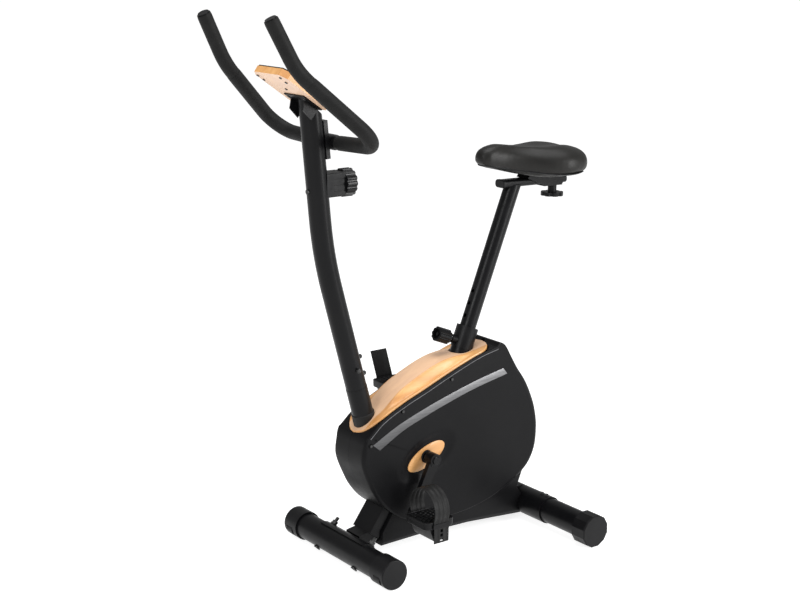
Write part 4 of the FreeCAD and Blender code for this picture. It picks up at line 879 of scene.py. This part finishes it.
def saddle_row(y, half, top, bottom, hollow, columns=48):
    """One section of the saddle, as a closed ring from the top middle round."""
    row = []
    middle = bottom + 0.42 * (top - bottom)
    for step in range(columns):
        turn = 2 * math.pi * step / columns
        side, up = math.sin(turn), math.cos(turn)
        power = 0.74 if up > 0 else 0.42
        x = half * math.copysign(abs(side) ** power, side)
        reach = (top - middle) if up > 0 else (middle - bottom)
        z = middle + reach * math.copysign(abs(up) ** (0.86 if up > 0 else 0.6), up)
        if up > 0:
            z -= hollow * math.exp(-(x / (0.36 * half)) ** 2) * up
        row.append((x, y, z))
    return row


def saddle_shape():
    rows = []
    stations = 46
    columns = list(zip(*SADDLE))
    places = columns[0]
    for step in range(stations):
        share = step / (stations - 1)
        y = places[0] + (places[-1] - places[0]) * (0.5 - 0.5 * math.cos(math.pi * share))
        values = [curve_at(tuple(zip(places, column)), y) for column in columns[1:]]
        rows.append(saddle_row(y, *values))
    return Shape().grid(rows, around=True, ends=True)


def inflate(obj, cap, pressure=4.0, last_frame=20):
    """Swells a skin a little, as foam under a stretched cover, and keeps every point near where it was."""
    cloth = obj.modifiers.new("cloth", "CLOTH")
    cloth.settings.use_pressure = True
    cloth.settings.uniform_pressure_force = pressure
    cloth.settings.effector_weights.gravity = 0
    cloth.settings.tension_stiffness = 18
    cloth.settings.bending_stiffness = 3
    cloth.point_cache.frame_start = 1
    cloth.point_cache.frame_end = last_frame
    rest = [v.co.copy() for v in obj.data.vertices]
    scene = bpy.context.scene
    for number in range(1, last_frame + 1):
        scene.frame_set(number)
    apply_modifiers(obj)
    scene.frame_set(1)
    for vertex, start in zip(obj.data.vertices, rest):
        move = vertex.co - start
        if move.length > cap * MM:
            vertex.co = start + move.normalized() * cap * MM


def build_saddle():
    pad = make_object("saddle_cover", saddle_shape())
    remesh = pad.modifiers.new("remesh", "REMESH")
    remesh.mode = "VOXEL"
    remesh.voxel_size = 5 * MM
    apply_modifiers(pad)
    inflate(pad, 5.0)
    relax = pad.modifiers.new("relax", "SMOOTH")
    relax.iterations = 6
    relax.factor = 0.5
    divide = pad.modifiers.new("divide", "SUBSURF")
    divide.levels = divide.render_levels = 1
    apply_modifiers(pad)
    smooth(pad, 180)
    place(pad, "saddle", "saddle_cover", VINYL, "saddle_pad")


# ---------------------------------------------------------------- handlebar grips

def build_grips():
    half = [BAR_TIP, BAR_ELBOW, BAR_CORNER, (30, CLAMP_AT[1], CLAMP_AT[2])]
    path = rounded_path(half, [BAR_ELBOW_R, BAR_CORNER_R], run_step=6.0)
    length = sum((b - a).length for a, b in zip(path, path[1:]))
    joint = 150.0

    def upper(travelled):
        return GRIP_R - 0.9 * math.exp(-travelled / 2.0) - 0.5 * math.exp(-(joint - travelled) / 3.0)

    def lower(travelled):
        left = length - joint - travelled
        return GRIP_R + 0.5 - 0.7 * math.exp(-travelled / 3.0) - 1.2 * math.exp(-left / 2.5)

    first, second = split_path(path, joint)
    for side, name in ((1, "left"), (-1, "right")):
        for run, radius_at, part in ((first, upper, "upper"), (second, lower, "lower")):
            outer = tube_rows(run, radius_at, 40)
            inner = tube_rows(run, lambda _: BAR_R + 0.1, 40)
            sleeve = Shape().grid(outer + list(reversed(inner)), around=True, across=True)
            piece = make_object(f"grip_{part}_{name}", sleeve if side > 0 else sleeve.mirrored())
            smooth(piece, 50)
            place(piece, "handlebar", "grip_foam", FOAM, "foam_grips")


def split_path(path, at):
    """Cuts a path in two at a distance along it."""
    travelled = 0.0
    for index, (a, b) in enumerate(zip(path, path[1:])):
        step = (b - a).length
        if travelled + step >= at:
            middle = a.lerp(b, (at - travelled) / step)
            return path[:index + 1] + [middle], [middle] + path[index + 1:]
        travelled += step
    return path, []


# ---------------------------------------------------------------- pedals

def crank_end(sign):
    y = CRANK[0] - sign * CRANK_LEN * math.sin(CRANK_ANGLE)
    z = CRANK[1] - sign * CRANK_LEN * math.cos(CRANK_ANGLE)
    return y, z


def rounded_rectangle(half_a, half_b, radius, steps=6):
    points = []
    for corner in range(4):
        ca, cb = ((1, 1), (-1, 1), (-1, -1), (1, -1))[corner]
        for step in range(steps + 1):
            turn = math.pi / 2 * (corner + step / steps)
            a = ca * (half_a - radius) + radius * math.cos(turn)
            points.append((a, cb * (half_b - radius) + radius * math.sin(turn)))
    return points


def plate_rows(outline, levels, centre):
    """Rings of a flat rounded plate: levels are (z, inset)."""
    cx, cy = centre
    rows = []
    for z, inset in levels:
        row = []
        for a, b in outline:
            length = math.hypot(a, b)
            row.append((cx + a * (1 - inset / length), cy + b * (1 - inset / length), z))
        rows.append(row)
    return rows


def pedal_body(y, z):
    """A moulded platform with a raised rim, blocks of tread and a keel underneath."""
    x0, x1 = PEDAL_X
    centre = ((x0 + x1) / 2, y)
    half_x = (x1 - x0) / 2
    outline = rounded_rectangle(half_x, PEDAL_HALF_Y, 12)
    top = z + PEDAL_TOP
    levels = ((z - PEDAL_UNDER, 2.0), (z - PEDAL_UNDER + 1.5, 0.4), (top - 3.2, 0.0), (top - 2.2, 0.0),
              (top - 1.6, 0.8), (top - 1.6, 3.4), (top - 3.6, 4.2))
    body = Shape().grid(plate_rows(outline, levels, centre), around=True, ends=True)
    rng = random.Random(7)
    for across in range(7):
        for along in range(7):
            bx = centre[0] + (across - 3) * 10.6 + (2.6 if along % 2 else -2.6)
            by = y + (along - 3) * 9.8
            if abs(bx - centre[0]) > half_x - 8 or (abs(bx - centre[0]) > half_x - 16 and abs(by - y) > 26):
                continue
            tip = top - rng.uniform(0.0, 1.2)
            block = rounded_rectangle(3.9, 3.1, 1.3, 2)
            tread = plate_rows(block, ((top - 4.4, -0.6), (tip - 0.7, 0.0), (tip, 0.7)), (bx, by))
            body.add(Shape().grid(tread, around=True, ends=True))
    keel_rows = []
    for depth, half in ((0, 27), (6, 25.5), (22, 19), (29, 16), (31, 13.5)):
        low = z - PEDAL_UNDER + 0.5 - depth
        inset = 0 if depth < 29 else 2
        keel_rows.append([(x0 + 5 + inset, y - half, low), (x1 - 3 - inset, y - half, low),
                          (x1 - 3 - inset, y + half, low), (x0 + 5 + inset, y + half, low)])
    body.add(Shape().grid(keel_rows, around=True, ends=True))
    return body


def strap_path(z):
    """The strap's middle line, as (x, z), from the pedal's inner edge over the foot and down its tail."""
    x0, x1 = PEDAL_X[0] - 1.7, PEDAL_X[1] + 1.7
    top = z + PEDAL_TOP
    middle, half = (x0 + x1) / 2, (x1 - x0) / 2
    rise = STRAP_RISE - 1.0
    drop = (rise ** 2 - half ** 2) / (2 * rise)
    radius = rise - drop
    points = [(x0, z + 7.5), (x0, (z + 7.5 + top) / 2)]
    first = math.pi + math.asin(drop / radius)
    span = 2 * first - math.pi
    arc_steps, tail_steps = 44, 15
    for step in range(arc_steps + 1):
        turn = first - span * step / arc_steps
        points.append((middle + radius * math.cos(turn), top + drop + radius * math.sin(turn)))
    for step in range(1, tail_steps + 1):
        share = step / tail_steps
        points.append((x1 + 0.6 * math.sin(3 * share), top - (STRAP_TAIL + PEDAL_TOP) * share))
    return points


def loose_path(z):
    """The middle line of the strap that is undone: up the pedal's outer edge, then leaning out."""
    x, top = PEDAL_X[1] + 1.5, z + PEDAL_TOP
    points = [(x, z - 5 + (PEDAL_TOP + 5) * k / 4) for k in range(5)]
    for step in range(1, 17):
        reach = LOOSE_LEN * step / 16
        points.append((x + reach * math.sin(LOOSE_LEAN), top + reach * math.cos(LOOSE_LEAN)))
    return points


def strap_shape(y, points, half_width):
    """A moulded band with raised edges and ribs."""
    rows = []
    for index, (x, height) in enumerate(points):
        before, after = points[max(index - 1, 0)], points[min(index + 1, len(points) - 1)]
        out = Vector((-(after[1] - before[1]), 0, after[0] - before[0])).normalized()
        rows.append([
            Vector((x, y + half_width * width, height)) + out * (raised - 0.3)
            for width, raised in STRAP_RELIEF
        ])
    return Shape().grid(rows)


def without_slots(band, rows):
    """Opens the ladder of slots down the strap's tail."""
    across = len(STRAP_RELIEF) - 1
    slots = set()
    for row in range(rows - 13, rows - 2, 3):
        for column in (5, 6, 7):
            slots |= {row * across + column, (row + 1) * across + column}
    band.faces = [face for index, face in enumerate(band.faces) if index not in slots]
    return band


def strap_catch(y, z, edges):
    """The plastic blocks that hold the strap at the pedal's edges."""
    catch = Shape()
    for x in edges:
        sides = rounded_rectangle(22.5, 5.5, 2.4, 3)
        rows = [[(x + dx, y + dy, z + dz) for dy, dz in sides] for dx in (-2.3, 2.3)]
        catch.grid(rows, around=True, ends=True)
    return catch


def build_pedals():
    for sign, name in ((1, "left"), (-1, "right")):
        y, z = crank_end(sign)
        body = pedal_body(y, z)
        pedal = make_object("platform_" + name, body if sign > 0 else body.mirrored())
        bevel(pedal, 0.5, 2, 40)
        smooth(pedal, 40)
        place(pedal, name + "_pedal", "black_plastic", PLASTIC, "pedal_" + name)
        if sign > 0:
            points = strap_path(z)
            strap = make_object("strap_left", without_slots(strap_shape(y, points, STRAP_HALF), len(points)))
        else:
            strap = make_object("strap_right", strap_shape(y, loose_path(z), LOOSE_HALF).mirrored())
        thicken(strap, STRAP_T - 0.5, 0.0)
        bevel(strap, 0.35, 2, 50)
        smooth(strap, 40)
        place(strap, name + "_pedal", "strap_rubber", RUBBER, "pedal_strap_" + name)
        block = strap_catch(y, z, (PEDAL_X[0] - 2.2, PEDAL_X[1] + 2.2))
        catch = make_object("strap_catch_" + name, block if sign > 0 else block.mirrored())
        bevel(catch, 0.6, 2)
        smooth(catch, 40)
        place(catch, name + "_pedal", "black_plastic", PLASTIC)


# ---------------------------------------------------------------- stage

def build_stage():
    ends = (-FLOOR_HALF, FLOOR_HALF)
    floor = make_object("floor", Shape().grid([[(x, y, FLOOR_Z) for x in ends] for y in ends]))
    floor.data.materials.append(floor_paint())
    world = bpy.data.worlds.new("studio")
    world.use_nodes = True
    world.node_tree.nodes["Background"].inputs["Color"].default_value = (1, 1, 1, 1)
    world.node_tree.nodes["Background"].inputs["Strength"].default_value = STUDIO_FILL
    bpy.context.scene.world = world
    bpy.context.scene.view_settings.view_transform = "Standard"


def soft_light(name, at, look_at, size, power):
    light = bpy.data.lights.new(name, "AREA")
    light.shape = "RECTANGLE"
    light.size, light.size_y = size
    light.energy = power
    obj = bpy.data.objects.new(name, light)
    obj.location = at
    obj.rotation_mode = "QUATERNION"
    obj.rotation_quaternion = (Vector(look_at) - Vector(at)).to_track_quat("-Z", "Y")
    bpy.context.scene.collection.objects.link(obj)


def build_lights():
    for name, at, size, power in LIGHTS:
        soft_light(name, at, LIGHTS_AIM, size, power)


def build_camera():
    camera = bpy.data.objects.new("camera", bpy.data.cameras.new("camera"))
    camera.data.sensor_width = SENSOR
    camera.data.lens = CAMERA_LENS
    camera.location = CAMERA_AT
    turn, down = math.radians(CAMERA_AZIMUTH), math.radians(CAMERA_DOWN)
    ahead = Vector((-math.sin(turn) * math.cos(down), math.cos(turn) * math.cos(down), -math.sin(down)))
    camera.rotation_mode = "QUATERNION"
    camera.rotation_quaternion = ahead.to_track_quat("-Z", "Y")
    camera.data.clip_end = 200
    bpy.context.scene.collection.objects.link(camera)
    bpy.context.scene.camera = camera


build_camera()
build_stage()
build_lights()
finish_cad_nodes()
build_housing()
build_rim_highlights()
build_face_trims()
build_cover()
build_saddle()
build_grips()
build_pedals()
